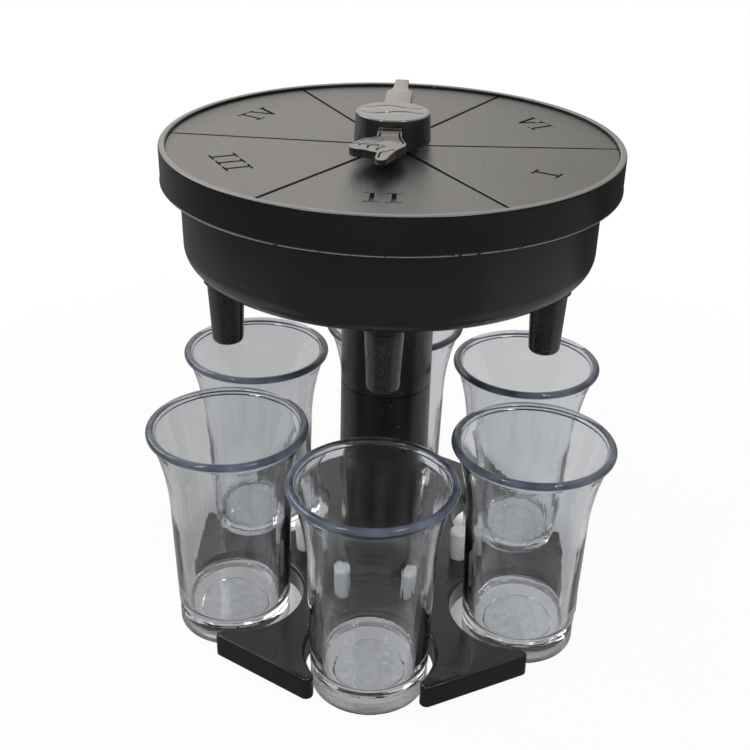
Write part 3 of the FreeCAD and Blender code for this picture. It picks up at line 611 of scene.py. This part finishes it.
def lid_body():
    """Turned shell of the lid: post, recess for the dial's sectors, rim, skirt and locating ring."""
    rim_in = LID_R - RIM_WIDTH
    out = LID_R - FLASH
    skirt_in = LID_R - SKIRT_WALL
    top = RIM_TOP
    seat = DIAL_EDGE_Z - DIAL_PLATE
    middle = DIAL_EDGE_Z - DISH
    bore_floor = POINTER_TOP - BORE_DEPTH
    post_top = POINTER_TOP + POST_RISE
    profile = [(0, bore_floor), (BORE_R, bore_floor), (BORE_R, post_top), (POST_R, post_top), (POST_R, middle),
               (BOSS_R, middle), (BOSS_R, middle - ENGRAVED), (DISH_R, middle - ENGRAVED),
               (rim_in, DIAL_EDGE_Z - ENGRAVED)]
    profile += arc((rim_in + RIM_INNER_ROUND, top - RIM_INNER_ROUND), RIM_INNER_ROUND, 180, 90, 6)
    profile += arc((out - RIM_ROUND, top - RIM_ROUND), RIM_ROUND, 90, 0)
    profile += [(out, SKIRT_Z + FLASH_TOP), (LID_R, SKIRT_Z + FLASH_BEND), (LID_R, SKIRT_Z + FLASH_FOOT)]
    profile += arc((LID_R - SKIRT_ROUND, SKIRT_Z + SKIRT_ROUND), SKIRT_ROUND, -17, -90, 4)
    profile += [(skirt_in + SKIRT_CHAMFER, SKIRT_Z), (skirt_in, SKIRT_Z + SKIRT_CHAMFER), (skirt_in, seat),
                (LOCATING_OUT, seat), (LOCATING_OUT, seat - LOCATING_DEPTH), (LOCATING_IN, seat - LOCATING_DEPTH),
                (LOCATING_IN, seat), (DISH_R, seat - DISH), (0, seat - DISH)]
    return turned(profile)


def dished(bm):
    """Sinks a level plate so that it follows the dial's dish."""
    for vert in bm.verts:
        reach = math.hypot(vert.co.x, vert.co.y)
        vert.co.z -= DISH * (1 - max(0.0, reach - DISH_R) / (LID_R - RIM_WIDTH - DISH_R))
    return bm


def sector_outline(number):
    """One sector of the dial, between two grooves of even width."""
    inner, outer = BOSS_R + SECTOR_GAP, LID_R - RIM_WIDTH - SECTOR_GAP
    end = between_angle(number) + LID_TURN
    start = end - 360.0 / PLACES
    points = []
    for radius, steps, first, last in ((inner, 6, end, start), (outer, 28, start, end)):
        inset = math.degrees(math.asin(GROOVE / 2 / radius))
        sign = 1 if last > first else -1
        points += arc((0, 0), radius, first + sign * inset, last - sign * inset, steps)
    return points


def stem_letter(x):
    """Outline of an I about x, with a serif at each end."""
    top = NUMERAL_HEIGHT / 2
    half, wide = STEM / 2, SERIF_WIDTH / 2
    corner = [(wide, top), (wide, top - SERIF), (half, top - SERIF)]
    right = corner + [(a, -b) for a, b in reversed(corner)]
    return [(x + a, b) for a, b in right] + [(x - a, b) for a, b in reversed(right)]


def v_letter(x):
    """Outline of a V about x, with a serif on each arm."""
    top = NUMERAL_HEIGHT / 2
    under = top - SERIF
    right = [(0, -top + V_NOTCH), (V_ARM[0], under), (V_SERIF[0], under), (V_SERIF[0], top), (V_SERIF[1], top),
             (V_SERIF[1], under), (V_ARM[1], under), (V_POINT, -top)]
    left = [(-a, b) for a, b in reversed(right)]
    return [(x + a, b) for a, b in right + left[:-1]]


def numeral_outlines(number):
    """Outlines of one numeral's letters, turned with their tops outward."""
    text = NUMERALS[number]
    steps = [V_STEP if "V" in pair else STEM_STEP for pair in zip(text, text[1:])]
    places = [sum(steps[:n]) - sum(steps) / 2 for n in range(len(text))]
    letters = [v_letter(x) if letter == "V" else stem_letter(x) for letter, x in zip(text, places)]
    angle = math.radians(place_angle(number) + LID_TURN)
    outward = Vector((math.cos(angle), math.sin(angle)))
    across = Vector((outward.y, -outward.x))
    turned_letters = []
    for letter in letters:
        corners = [outward * (NUMERAL_R + b) + across * a for a, b in letter]
        turned_letters.append([tuple(corner) for corner in corners])
    return turned_letters


def make_lid(shell_material, dial_material):
    """The lid's shell, and the six grained sectors that lie in its recess."""
    finished("lid_shell", lid_body(), shell_material, "lid", ["lid"], FINE_ANGLE)
    bm = bmesh.new()
    for number in range(PLACES):
        outlines = [sector_outline(number)] + numeral_outlines(number)
        sector = plate(outlines, DIAL_EDGE_Z - ENGRAVED - SECTOR_SUNK, DIAL_EDGE_Z, GROOVE_EDGE)
        added(bm, dished(gridded(sector, DIAL_GRID)))
    return finished("lid_dial", bm, dial_material, "lid", smooth=FINE_ANGLE)


# ---------------------------------------------------------------- glasses and stoppers


def glass_radius(z):
    """Outer radius of the glass over its foot."""
    foot = FOOT_R + STEP_OUT
    if z < BELLY_Z:
        return foot + (BELLY_R - foot) * (z - STEP_Z) / (BELLY_Z - STEP_Z)
    return BELLY_R + (NECK_R - BELLY_R) * ((z - BELLY_Z) / (NECK_Z - BELLY_Z)) ** FLARE_POWER


def wall_at(z):
    """Thickness of the glass's wall."""
    return WALL + (FOOT_WALL - WALL) * max(0.0, (BELLY_Z - z) / (BELLY_Z - GLASS_FLOOR))


def make_glass(number, material):
    """Shot glass: solid foot, straight body, flared top, beaded rim and a rounded floor."""
    body = NECK_Z - STEP_Z - STEP_SLOPE
    heights = [NECK_Z - body * n / BODY_RINGS for n in range(BODY_RINGS + 1)]
    groove_r = FOOT_R - STEP_GROOVE
    profile = [(0, UNDER), (UNDER_R - UNDER_SLOPE, UNDER), (UNDER_R, 0.0)]
    profile += arc((FOOT_R - FOOT_ROUND, FOOT_ROUND), FOOT_ROUND, -90, 0, 5)
    profile += [(FOOT_R, STEP_Z - STEP_SLOPE)] + [(groove_r, STEP_Z + z) for z in STEP_GROOVE_Z]
    profile += [(glass_radius(z), z) for z in reversed(heights)]
    middle = (RIM_R - BEAD_HALF, GLASS_HEIGHT - BEAD_HALF_HEIGHT)
    profile += arc(middle, (BEAD_HALF, BEAD_HALF_HEIGHT), -70, 195, 26)
    inner_low = GLASS_FLOOR + FLOOR_ROUND
    for z in heights[1:]:
        if z > inner_low + 1:
            profile.append((glass_radius(z) - wall_at(z), z))
    corner_r = glass_radius(inner_low) - wall_at(inner_low)
    profile += arc((corner_r - FLOOR_ROUND, inner_low), FLOOR_ROUND, 0, -90, 10)
    profile += [(0, GLASS_FLOOR)]
    bm = moved(turned(profile), GLASS_RING_R, place_angle(number))
    name = f"glass_{number + 1}"
    return finished(f"shot_{name}", bm, material, name, [name])


def make_painted_ring(number, material):
    """Grey ring inside a glass's bead, square to the flaring wall: painted light that stands in for what the thick
    clear rim refracts.
    """
    middle = Vector((RIM_R - BEAD_HALF, GLASS_HEIGHT - BEAD_HALF_HEIGHT))
    across = Vector((math.cos(PAINTED_RING_TILT), -math.sin(PAINTED_RING_TILT))) * PAINTED_RING_HALF
    up = Vector((math.sin(PAINTED_RING_TILT), math.cos(PAINTED_RING_TILT))) * PAINTED_RING_THICK / 2
    corners = [middle + across + up, middle + across - up, middle - across - up, middle - across + up]
    ring = [tuple(corner) for corner in corners + corners[:1]]
    bm = moved(turned(ring), GLASS_RING_R, place_angle(number))
    name = f"glass_{number + 1}"
    return finished(f"rim_painted_light_{name}", bm, material, name)


def make_stopper(number, material):
    """Soft tapered plug with a rounded head, standing in its hole."""
    low, high = stopper_low.z, stopper_high.z
    head_r = (stopper_high.y - stopper_low.y) / 2
    profile = [(0, low)] + arc((STOPPER_FOOT_R, low + STOPPER_FOOT_ROUND), STOPPER_FOOT_ROUND, -90, 0, 4)
    profile += arc((head_r - STOPPER_HEAD_ROUND, high - STOPPER_HEAD_ROUND), STOPPER_HEAD_ROUND, 0, 90, 8)
    profile += [(head_r * STOPPER_DIMPLE_SHARE, high - STOPPER_DIMPLE_EDGE), (0, high - STOPPER_DIMPLE)]
    middle = (stopper_low.x + stopper_high.x) / 2
    bm = moved(turned(profile, 48), middle, between_angle(number))
    name = f"stopper_{number + 1}"
    return finished(f"silicone_{name}", bm, material, name, [name])


# ---------------------------------------------------------------- spinner


def wave_depth(x, y):
    """Two waves pressed into the cap's top, each a step with a soft foot."""
    depth = 0.0
    for middle, swing, phase in WAVES:
        line = middle + swing * math.sin(x * WAVE_TURN + phase)
        below = line - y
        if below > 0:
            depth += max(0.0, 1 - below / WAVE_FOOT)
    return WAVE_DEPTH * depth


def make_cap(material):
    """Glossy hub: a cup with waves in its top and a window each for the hand and the tail."""
    top = cap_high.z
    flat_r = CAP_TOP_R - CAP_ROUND
    profile = [(flat_r * n / CAP_RINGS, top) for n in range(CAP_RINGS)]
    profile += arc((flat_r, top - CAP_ROUND), CAP_ROUND, 90, 0, 6)
    profile += [(CAP_FOOT_R, cap_low.z + CAP_CHAMFER[1]), (CAP_FOOT_R - CAP_CHAMFER[0], cap_low.z)]
    bm = turned(profile, 192)
    for vert in bm.verts:
        reach = math.hypot(vert.co.x, vert.co.y)
        if reach < flat_r:
            vert.co.z -= wave_depth(vert.co.x, vert.co.y) * min(1.0, (flat_r - reach) / WAVE_FADE)
    cuts = [((side * half, 0, 0), (1, 0, 0)) for half in (HAND_WINDOW, TAIL_WINDOW) for side in (-1, 1)]
    cuts.append(((0, 0, WINDOW_TOP), (0, 0, 1)))
    for point, normal in cuts:
        geometry = bm.verts[:] + bm.edges[:] + bm.faces[:]
        bmesh.ops.bisect_plane(bm, geom=geometry, dist=1e-5, plane_co=point, plane_no=normal)
    opened = []
    for face in bm.faces:
        centre = face.calc_center_median()
        half = HAND_WINDOW if centre.y < 0 else TAIL_WINDOW
        if abs(centre.x) < half and centre.z < WINDOW_TOP and math.hypot(centre.x, centre.y) > flat_r:
            opened.append(face)
    bmesh.ops.delete(bm, geom=opened, context="FACES")
    bmesh.ops.solidify(bm, geom=bm.faces[:], thickness=CAP_WALL)
    return finished("spinner_hub", bm, material, "spinner", ["spinner_cap"])


# The hand, seen from above and pointing along -Y
HAND_OUTLINE = (
    (-2.9, -4.0), (-3.0, -11.0), (-3.5, -13.6), (-4.6, -15.0), (-6.4, -15.6), (-7.5, -17.4), (-8.7, -19.8),
    (-9.7, -22.0), (-9.4, -24.0), (-8.2, -25.2), (-7.3, -25.5), (-6.4, -25.6), (-5.0, -26.1), (-3.8, -27.0),
    (-2.6, -27.5), (-2.2, -28.2), (-2.5, -31.6), (-2.2, -33.2), (-1.4, -34.1), (-0.4, -34.2), (0.4, -33.2),
    (1.3, -29.2), (2.3, -25.6), (3.4, -23.4), (4.5, -21.3), (4.6, -19.6), (4.0, -17.2), (3.3, -14.4),
    (3.0, -11.0), (2.9, -4.0))
HAND_LINES = (
    ((-9.0, -22.0), (-8.4, -20.5), (-7.6, -19.9), (-6.9, -20.0)),
    ((-7.1, -22.9), (-6.6, -21.0), (-5.8, -20.2), (-4.8, -20.1)),
    ((-4.9, -24.6), (-4.7, -22.6), (-4.1, -21.1), (-3.3, -20.6), (-2.5, -21.1), (-2.1, -22.1)),
    ((-1.5, -21.3), (-0.5, -22.4), (-1.5, -23.5), (-2.3, -24.6), (-2.6, -26.0)),
    ((2.0, -24.5), (0.3, -26.3), (-0.9, -27.1), (-1.4, -28.0), (-1.6, -30.6), (-1.6, -32.2)),
    ((-2.2, -17.9), (-1.4, -16.5), (-0.2, -15.9), (1.0, -16.2)),
    ((-2.4, -11.2), (-2.8, -13.6), (-4.1, -15.6), (-6.0, -16.3), (-6.7, -17.4), (-7.1, -18.3)),
    ((2.4, -11.2), (2.7, -14.6), (3.4, -17.4), (3.9, -19.5)))
HAND_SWELLS = (              # palm, knuckles and fingertip: place, reach and rise
    ((0.4, -18.6), 2.2, 0.4), ((-7.9, -22.4), 1.1, 0.25), ((-5.9, -22.6), 1.1, 0.25), ((-3.6, -23.6), 1.2, 0.3),
    ((-0.6, -30.0), 1.6, 0.2))


def line_outline(line):
    """Closed outline of the narrow floor of one pressed line."""
    points = [Vector(point) for point in line]
    sides = []
    for n, point in enumerate(points):
        run = points[min(n + 1, len(points) - 1)] - points[max(n - 1, 0)]
        sides.append((point, Vector((-run.y, run.x)).normalized() * LINE_HALF))
    return [tuple(point + side) for point, side in sides] + [tuple(point - side) for point, side in reversed(sides)]


def modelled(bm):
    """Gives the hand's plate or its core the swells of the palm and fingers, and the climbing wrist."""
    low = POINTER_TOP - HAND_THICK
    gridded(bm, RELIEF_GRID)
    for vert in bm.verts:
        place = Vector((vert.co.x, vert.co.y))
        swell = sum(rise * math.exp(-((place - Vector(spot)).length / reach) ** 2) for spot, reach, rise in HAND_SWELLS)
        wrist = min(1.0, max(0.0, (vert.co.y + WRIST_END) / WRIST_RUN))
        finger = min(1.0, max(0.0, (FINGER_START - vert.co.y) / FINGER_RUN))
        share = (vert.co.z - low) / HAND_THICK
        vert.co.z += swell * share + FINGER_THIN * finger * (1 - share)
        vert.co.z += WRIST_RISE * wrist * wrist * (3 - 2 * wrist)
    return bm


def tail_outline():
    """Bottle-shaped tail: body, shoulders, neck and rounded mouth."""
    right = [(BOTTLE_HALF, BOTTLE_ROOT), (BOTTLE_HALF, SHOULDER_Y)]
    right += arc((BOTTLE_HALF - SHOULDER[0], SHOULDER_Y), SHOULDER, 0, 60, 6) + list(BOTTLE_NECK)
    mouth_half, mouth_y = BOTTLE_NECK[-1]
    right += arc((mouth_half - MOUTH_ROUND, mouth_y + MOUTH_LENGTH), MOUTH_ROUND, 0, 90, 5)
    return right + [(-x, y) for x, y in reversed(right)]


def make_pointer(material, line_shade_material):
    """Pointing hand, bottle-shaped tail, disc and sleeve that turn on the lid's post.

    The hand is a plate pierced by its lines, over a slightly smaller core that forms their floors; the core's
    near-black, dull finish paints the shade in the lines.
    """
    low, high = POINTER_TOP - HAND_THICK, POINTER_TOP
    core = plate([HAND_OUTLINE], low + CORE_INSET, high - LINE_DEPTH, HAND_EDGE, CORE_INSET)
    finished("hand_core", modelled(core), line_shade_material, "spinner")
    bm = modelled(plate([HAND_OUTLINE] + [line_outline(line) for line in HAND_LINES], low, high, HAND_EDGE))
    low = POINTER_TOP - POINTER_THICK
    added(bm, plate([tail_outline()], low, high, EDGE_ROUND))
    bore_r = POST_R + RUN_GAP
    hub = [(bore_r, pointer_low.z), (SLEEVE_R, pointer_low.z), (SLEEVE_R, low), (DISC_R, low), (DISC_R, high),
           (bore_r, high), (bore_r, pointer_low.z)]
    added(bm, turned(hub, 96))
    return finished("spinner_pointer", bm, material, "spinner", ["pointer"])


# ---------------------------------------------------------------- studio

# Camera
CAMERA_DISTANCE = 301.10 * MM
CAMERA_HEIGHT = 229.85 * MM
CAMERA_SIDE = 3.0            # degrees to the right of the front glass
CAMERA_YAW = -0.62
CAMERA_PITCH = 27.74
CAMERA_ROLL = 1.28
LENS = 54.62

# Table, in metres. A zone fades in or out between its two edges; two tones are for its left and right.
TABLE_SIZE = 3.0
TABLE_DROP = 0.1 * MM        # keeps the table clear of the feet
PAPER = grey(0.95)
PAPER_BOUNCE = grey(0.5)     # what the paper gives back to the object
SHADOW_EDGES = (0.16, 0.3)   # the object's shadow fades out here
SHADOW_GLOW = 0.93           # share of the table's own white within it
POCKET_EDGES = (0.036, 0.046)
POCKET_GLOW = 0.15           # share of its own white within the ring of glasses
THROUGH_GLOW = 0.5           # through glass the table keeps half of its shadows
RIGHT_EDGES = (-0.12, 0.12)
FACING_EDGES = (-0.045, -0.02)                  # the part in front of the object
# In gloss these tones are painted light and shade on the table: pale close by, dim far off, behind and in front, darker
# just in front of the object.
NEAR_GLOSS = grey(0.48)
FAR_EDGES = (0.26, 0.32)
FAR_GLOSS = (grey(0.15), grey(0.24))
BACK_EDGES = (0.08, 0.2)
BACK_GLOSS = (grey(0.2), grey(0.06))
FRONT_EDGES = (-0.08, -0.02)
FRONT_SPLAY = 0.6            # the front zone's edge runs forward this much for each metre sideways
FRONT_GLOSS = (grey(0.16), grey(0.17))
CLOSE_EDGES = (0.11, 0.15)
CLOSE_GLOSS = grey(0.14)
# Through glass the table glows with these tones: painted shade under the feet, paler around them.
UNDER_GLASS = (grey(0.36), grey(0.48, -0.01))
AROUND_EDGES = (0.066, 0.08)
AROUND_GLASS = (grey(0.48), grey(0.62, -0.01))
SCREEN_EDGES = (0.078, 0.092)
SCREENED = grey(0.07)        # painted shade in front of the object, where a glass would show the bare table

# World, by direction. Edges are as above; two tones are for low and high, or for beside and in the soft box.
FILL = grey(0.55)            # even light on the object
BEHIND_EDGES = (0.15, 0.6)
BACKDROP_RIGHT_EDGES = (-0.06, 0.12)
BACKDROP_HIGH_EDGES = (0.38, 0.58)
BACKDROP_LEFT = (grey(0.9, 0.04), grey(1.0, 0.05))
BACKDROP_RIGHT = (grey(0.5, 0.04), grey(0.76, 0.05))
ASIDE_EDGES = (0.36, 0.6)
ASIDE_HIGH_EDGES = (0.26, 0.4)
ASIDE = grey(0.18, 0.04)
BOX_LOW_EDGES = (0.5, 0.6)
BOX_HIGH_EDGES = (0.82, 0.9)
FRONT_IN_GLOSS = (grey(0.06), grey(0.4))
FRONT_THROUGH_GLASS = (grey(0.1), grey(0.8))
BACKDROP_THROUGH_GLASS = grey(0.58)


def table_in_gloss(tree, x, y, reach, right, facing):
    """The table as shiny faces mirror it, glowing with given tones in place of its lit colour: painted light close by,
    painted shade far away and behind, dark in front and just in front of the object.
    """
    gloss = mixed(tree, past(tree, reach, FAR_EDGES), NEAR_GLOSS, mixed(tree, right, *FAR_GLOSS))
    gloss = mixed(tree, past(tree, y, BACK_EDGES), gloss, mixed(tree, right, *BACK_GLOSS))
    splay = math_node(tree, "MULTIPLY", math_node(tree, "ABSOLUTE", x), FRONT_SPLAY)
    side = past(tree, math_node(tree, "ADD", y, splay), FRONT_EDGES)
    gloss = mixed(tree, side, mixed(tree, right, *FRONT_GLOSS), gloss)
    close = math_node(tree, "MULTIPLY", facing, before(tree, reach, CLOSE_EDGES))
    return mixed(tree, close, gloss, CLOSE_GLOSS)


def table_through_glass(tree, reach, right, screened):
    """The table as it is seen through a glass: grey with painted shade under the feet, a little paler away from them,
    and a painted dark zone where it is screened.
    """
    around = past(tree, reach, AROUND_EDGES)
    tone = mixed(tree, around, mixed(tree, right, *UNDER_GLASS), mixed(tree, right, *AROUND_GLASS))
    return mixed(tree, screened, tone, SCREENED)


def table_finish():
    """White to the camera with the object's soft shadow, grey through glass, dimmer in gloss."""
    material = bpy.data.materials.new("table")
    material.use_nodes = True
    tree = material.node_tree
    tree.nodes.remove(tree.nodes["Principled BSDF"])
    place = tree.nodes.new("ShaderNodeTexCoord").outputs["Object"]
    length = tree.nodes.new("ShaderNodeVectorMath")
    length.operation = "LENGTH"
    tree.links.new(place, length.inputs[0])
    reach = length.outputs["Value"]
    x, y, _ = parts_of(tree, place)
    right = past(tree, x, RIGHT_EDGES)
    facing = before(tree, y, FACING_EDGES)
    screened = math_node(tree, "MULTIPLY", facing, past(tree, reach, SCREEN_EDGES))
    seen = ray_share(tree, "Is Camera Ray")
    through = ray_share(tree, "Is Transmission Ray")
    in_gloss = ray_share(tree, "Is Glossy Ray")

    paper = tree.nodes.new("ShaderNodeBsdfDiffuse")
    paper_colour = mixed(tree, math_node(tree, "MAXIMUM", seen, through), PAPER_BOUNCE, PAPER)
    tree.links.new(paper_colour, paper.inputs["Color"])
    colour = mixed(tree, in_gloss, grey(1.0), table_in_gloss(tree, x, y, reach, right, facing))
    colour = mixed(tree, through, colour, table_through_glass(tree, reach, right, screened))
    colour = mixed(tree, seen, colour, grey(1.0))
    glow = tree.nodes.new("ShaderNodeEmission")
    tree.links.new(colour, glow.inputs["Color"])

    shadow = remap(tree, reach, *SHADOW_EDGES, SHADOW_GLOW, 1.0, smooth=True)
    pockets = remap(tree, reach, *POCKET_EDGES, POCKET_GLOW, 1.0, smooth=True)
    share = math_node(tree, "MULTIPLY", seen, math_node(tree, "MULTIPLY", shadow, pockets))
    through_share = math_node(tree, "MULTIPLY", through, math_node(tree, "MAXIMUM", screened, THROUGH_GLOW))
    share = math_node(tree, "MAXIMUM", math_node(tree, "MAXIMUM", share, through_share), in_gloss)
    blend = tree.nodes.new("ShaderNodeMixShader")
    tree.links.new(share, blend.inputs["Fac"])
    tree.links.new(paper.outputs["BSDF"], blend.inputs[1])
    tree.links.new(glow.outputs["Emission"], blend.inputs[2])
    tree.links.new(blend.outputs["Shader"], tree.nodes["Material Output"].inputs["Surface"])
    return material


def make_table():
    """Pale table that the object stands on."""
    bm = bmesh.new()
    bmesh.ops.create_grid(bm, x_segments=1, y_segments=1, size=TABLE_SIZE / 2)
    bmesh.ops.translate(bm, vec=(0, 0, -TABLE_DROP), verts=bm.verts)
    mesh = bpy.data.meshes.new("table")
    bm.to_mesh(mesh)
    bm.free()
    mesh.materials.append(table_finish())
    table = bpy.data.objects.new("table", mesh)
    bpy.context.scene.collection.objects.link(table)


def make_world():
    """White to the camera; in gloss a warm pale backdrop behind and a soft box high in front, dark elsewhere."""
    world = bpy.data.worlds.new("studio")
    bpy.context.scene.world = world
    world.use_nodes = True
    tree = world.node_tree
    x, y, z = parts_of(tree, tree.nodes.new("ShaderNodeTexCoord").outputs["Generated"])
    behind = past(tree, y, BEHIND_EDGES)
    right = past(tree, x, BACKDROP_RIGHT_EDGES)
    high = past(tree, z, BACKDROP_HIGH_EDGES)
    backdrop = mixed(tree, right, mixed(tree, high, *BACKDROP_LEFT), mixed(tree, high, *BACKDROP_RIGHT))
    aside = past(tree, math_node(tree, "ABSOLUTE", x), ASIDE_EDGES)
    aside = math_node(tree, "MULTIPLY", aside, before(tree, z, ASIDE_HIGH_EDGES))
    backdrop = mixed(tree, aside, backdrop, ASIDE)
    in_box = math_node(tree, "MULTIPLY", past(tree, z, BOX_LOW_EDGES), before(tree, z, BOX_HIGH_EDGES))
    gloss = mixed(tree, behind, mixed(tree, in_box, *FRONT_IN_GLOSS), backdrop)
    through = mixed(tree, behind, mixed(tree, in_box, *FRONT_THROUGH_GLASS), BACKDROP_THROUGH_GLASS)
    colour = mixed(tree, ray_share(tree, "Is Glossy Ray"), FILL, gloss)
    colour = mixed(tree, ray_share(tree, "Is Transmission Ray"), colour, through)
    colour = mixed(tree, ray_share(tree, "Is Camera Ray"), colour, grey(1.0))
    background = tree.nodes["Background"]
    tree.links.new(colour, background.inputs["Color"])
    background.inputs["Strength"].default_value = 1.0


def make_lamp(name, place, target, width, height, power):
    """A soft rectangular lamp that looks at a point of the object."""
    light = bpy.data.lights.new(name, "AREA")
    light.shape = "RECTANGLE"
    light.size = width
    light.size_y = height
    light.energy = power
    lamp = bpy.data.objects.new(name, light)
    bpy.context.scene.collection.objects.link(lamp)
    aim = Vector(target) - Vector(place)
    lamp.matrix_world = Matrix.Translation(place) @ aim.to_track_quat("-Z", "Y").to_matrix().to_4x4()
    lamp.visible_camera = False


def make_camera():
    """The camera stands off to the side by CAMERA_SIDE, then yaws, pitches and rolls about itself."""
    camera = bpy.data.objects.new("camera", bpy.data.cameras.new("camera"))
    bpy.context.scene.collection.objects.link(camera)
    camera.data.sensor_width = 36.0
    camera.data.lens = LENS
    camera.data.clip_start = 0.01
    turn = Matrix.Rotation(math.radians(CAMERA_SIDE), 4, "Z")
    yaw = Matrix.Rotation(math.radians(-CAMERA_YAW), 4, "Z")
    pitch = Matrix.Rotation(math.radians(90 - CAMERA_PITCH), 4, "X")
    roll = Matrix.Rotation(math.radians(CAMERA_ROLL), 4, "Z")
    place = Matrix.Translation((0, -CAMERA_DISTANCE, CAMERA_HEIGHT))
    camera.matrix_world = turn @ place @ yaw @ pitch @ roll
    bpy.context.scene.camera = camera


# ---------------------------------------------------------------- the object

make_camera()
make_table()
make_world()
make_lamp("left_back", (-0.7, 0.3, 0.7), (0, 0, 0.1), 0.7, 0.5, 2.4)
make_lamp("front_left", (-0.4, -0.45, 0.85), (0, 0, 0.05), 0.14, 0.18, 1.3)
make_lamp("front_right", (0.42, -0.4, 0.85), (0, 0, 0.05), 0.16, 0.16, 1.4)

# painted sheen: a lighter band on the rim's top stands in for the backdrop its rounded edges reflect
rim_painted_sheen = (RIM_TOP - 0.25, RIM_TOP + 0.1, 0.9, 300.0, grey(0.22, 0.04))
# painted highlight: a broken pale line along the skirt's lower edge, where light catches the fine lip
skirt_lip_painted_highlight = (SKIRT_Z - 0.1, SKIRT_Z + 0.34, 0.6, 240.0, grey(0.36))
lid_black = moulded_plastic("lid black", grey(0.007), grey(0.012), 0.2, 0.3, marks=[rim_painted_sheen, skirt_lip_painted_highlight])
dial_black = moulded_plastic(
    "dial black", grey(0.006, 0.04), grey(0.036, 0.05), 0.28, 0.34, 1900.0, 0.14, specular=1.0, ior=1.93)
# painted sheen: the top of the hand and tail is made pale for the backdrop it reflects, stopping below the climbing
# wrist
pointer_painted_sheen = (POINTER_TOP - 0.12, POINTER_TOP + 0.8, 1.0, 300.0, grey(0.19, 0.05))
pointer_black = moulded_plastic(
    "pointer black", grey(0.006, 0.05), grey(0.01, 0.05), 0.2, 0.3, 1500.0, 0.006, specular=0.8, ior=1.7,
    marks=[pointer_painted_sheen])
# painted shade: a near-black, dull finish for the hand's core, which darkens the floors of its lines
line_painted_shade = moulded_plastic("line painted shade", grey(0.002), grey(0.004), 0.6, 0.7, specular=0.1)
nozzle_specks = (NOZZLE_LOW, NOZZLE_HIGH, 0.42, 2600.0, grey(0.06))
bowl_black = moulded_plastic("bowl black", grey(0.008), grey(0.014), 0.22, 0.32, ior=1.62, marks=[nozzle_specks])
column_black = moulded_plastic("column black", grey(0.011), grey(0.018), 0.2, 0.28)
base_black = moulded_plastic("base black", grey(0.008, 0.1), grey(0.02, 0.14), 0.16, 0.3, 110.0, 0.4, ior=1.6)
# painted sheen: the cap's top is made pale for the backdrop it reflects
cap_painted_sheen = (cap_high.z - 0.33, cap_high.z + 0.1, 1.0, 300.0, grey(0.15, 0.04))
cap_black = moulded_plastic(
    "cap black", grey(0.006, -0.06), grey(0.01, -0.06), 0.12, 0.17, 1500.0, 0.001, specular=0.8, ior=1.8,
    marks=[cap_painted_sheen])
styrene = clear_styrene()
rim_painted_light = painted_rim_light()
soft_white = silicone()
zinc_plate = zinc()

make_lid(lid_black, dial_black)
make_cap(cap_black)
make_pointer(pointer_black, line_painted_shade)
for place in range(PLACES):
    make_glass(place, styrene)
    make_painted_ring(place, rim_painted_light)
    make_stopper(place, soft_white)

carried_over = {
    "bowl": bowl_black, "column": column_black, "base": base_black, "column_screw": zinc_plate,
    "spinner_screw": zinc_plate, "spinner_washer": washer_plastic()}
for node, material in carried_over.items():
    for slot in frame["nodes"][node].material_slots:
        slot.material = material

bpy.context.scene.view_settings.view_transform = "Standard"
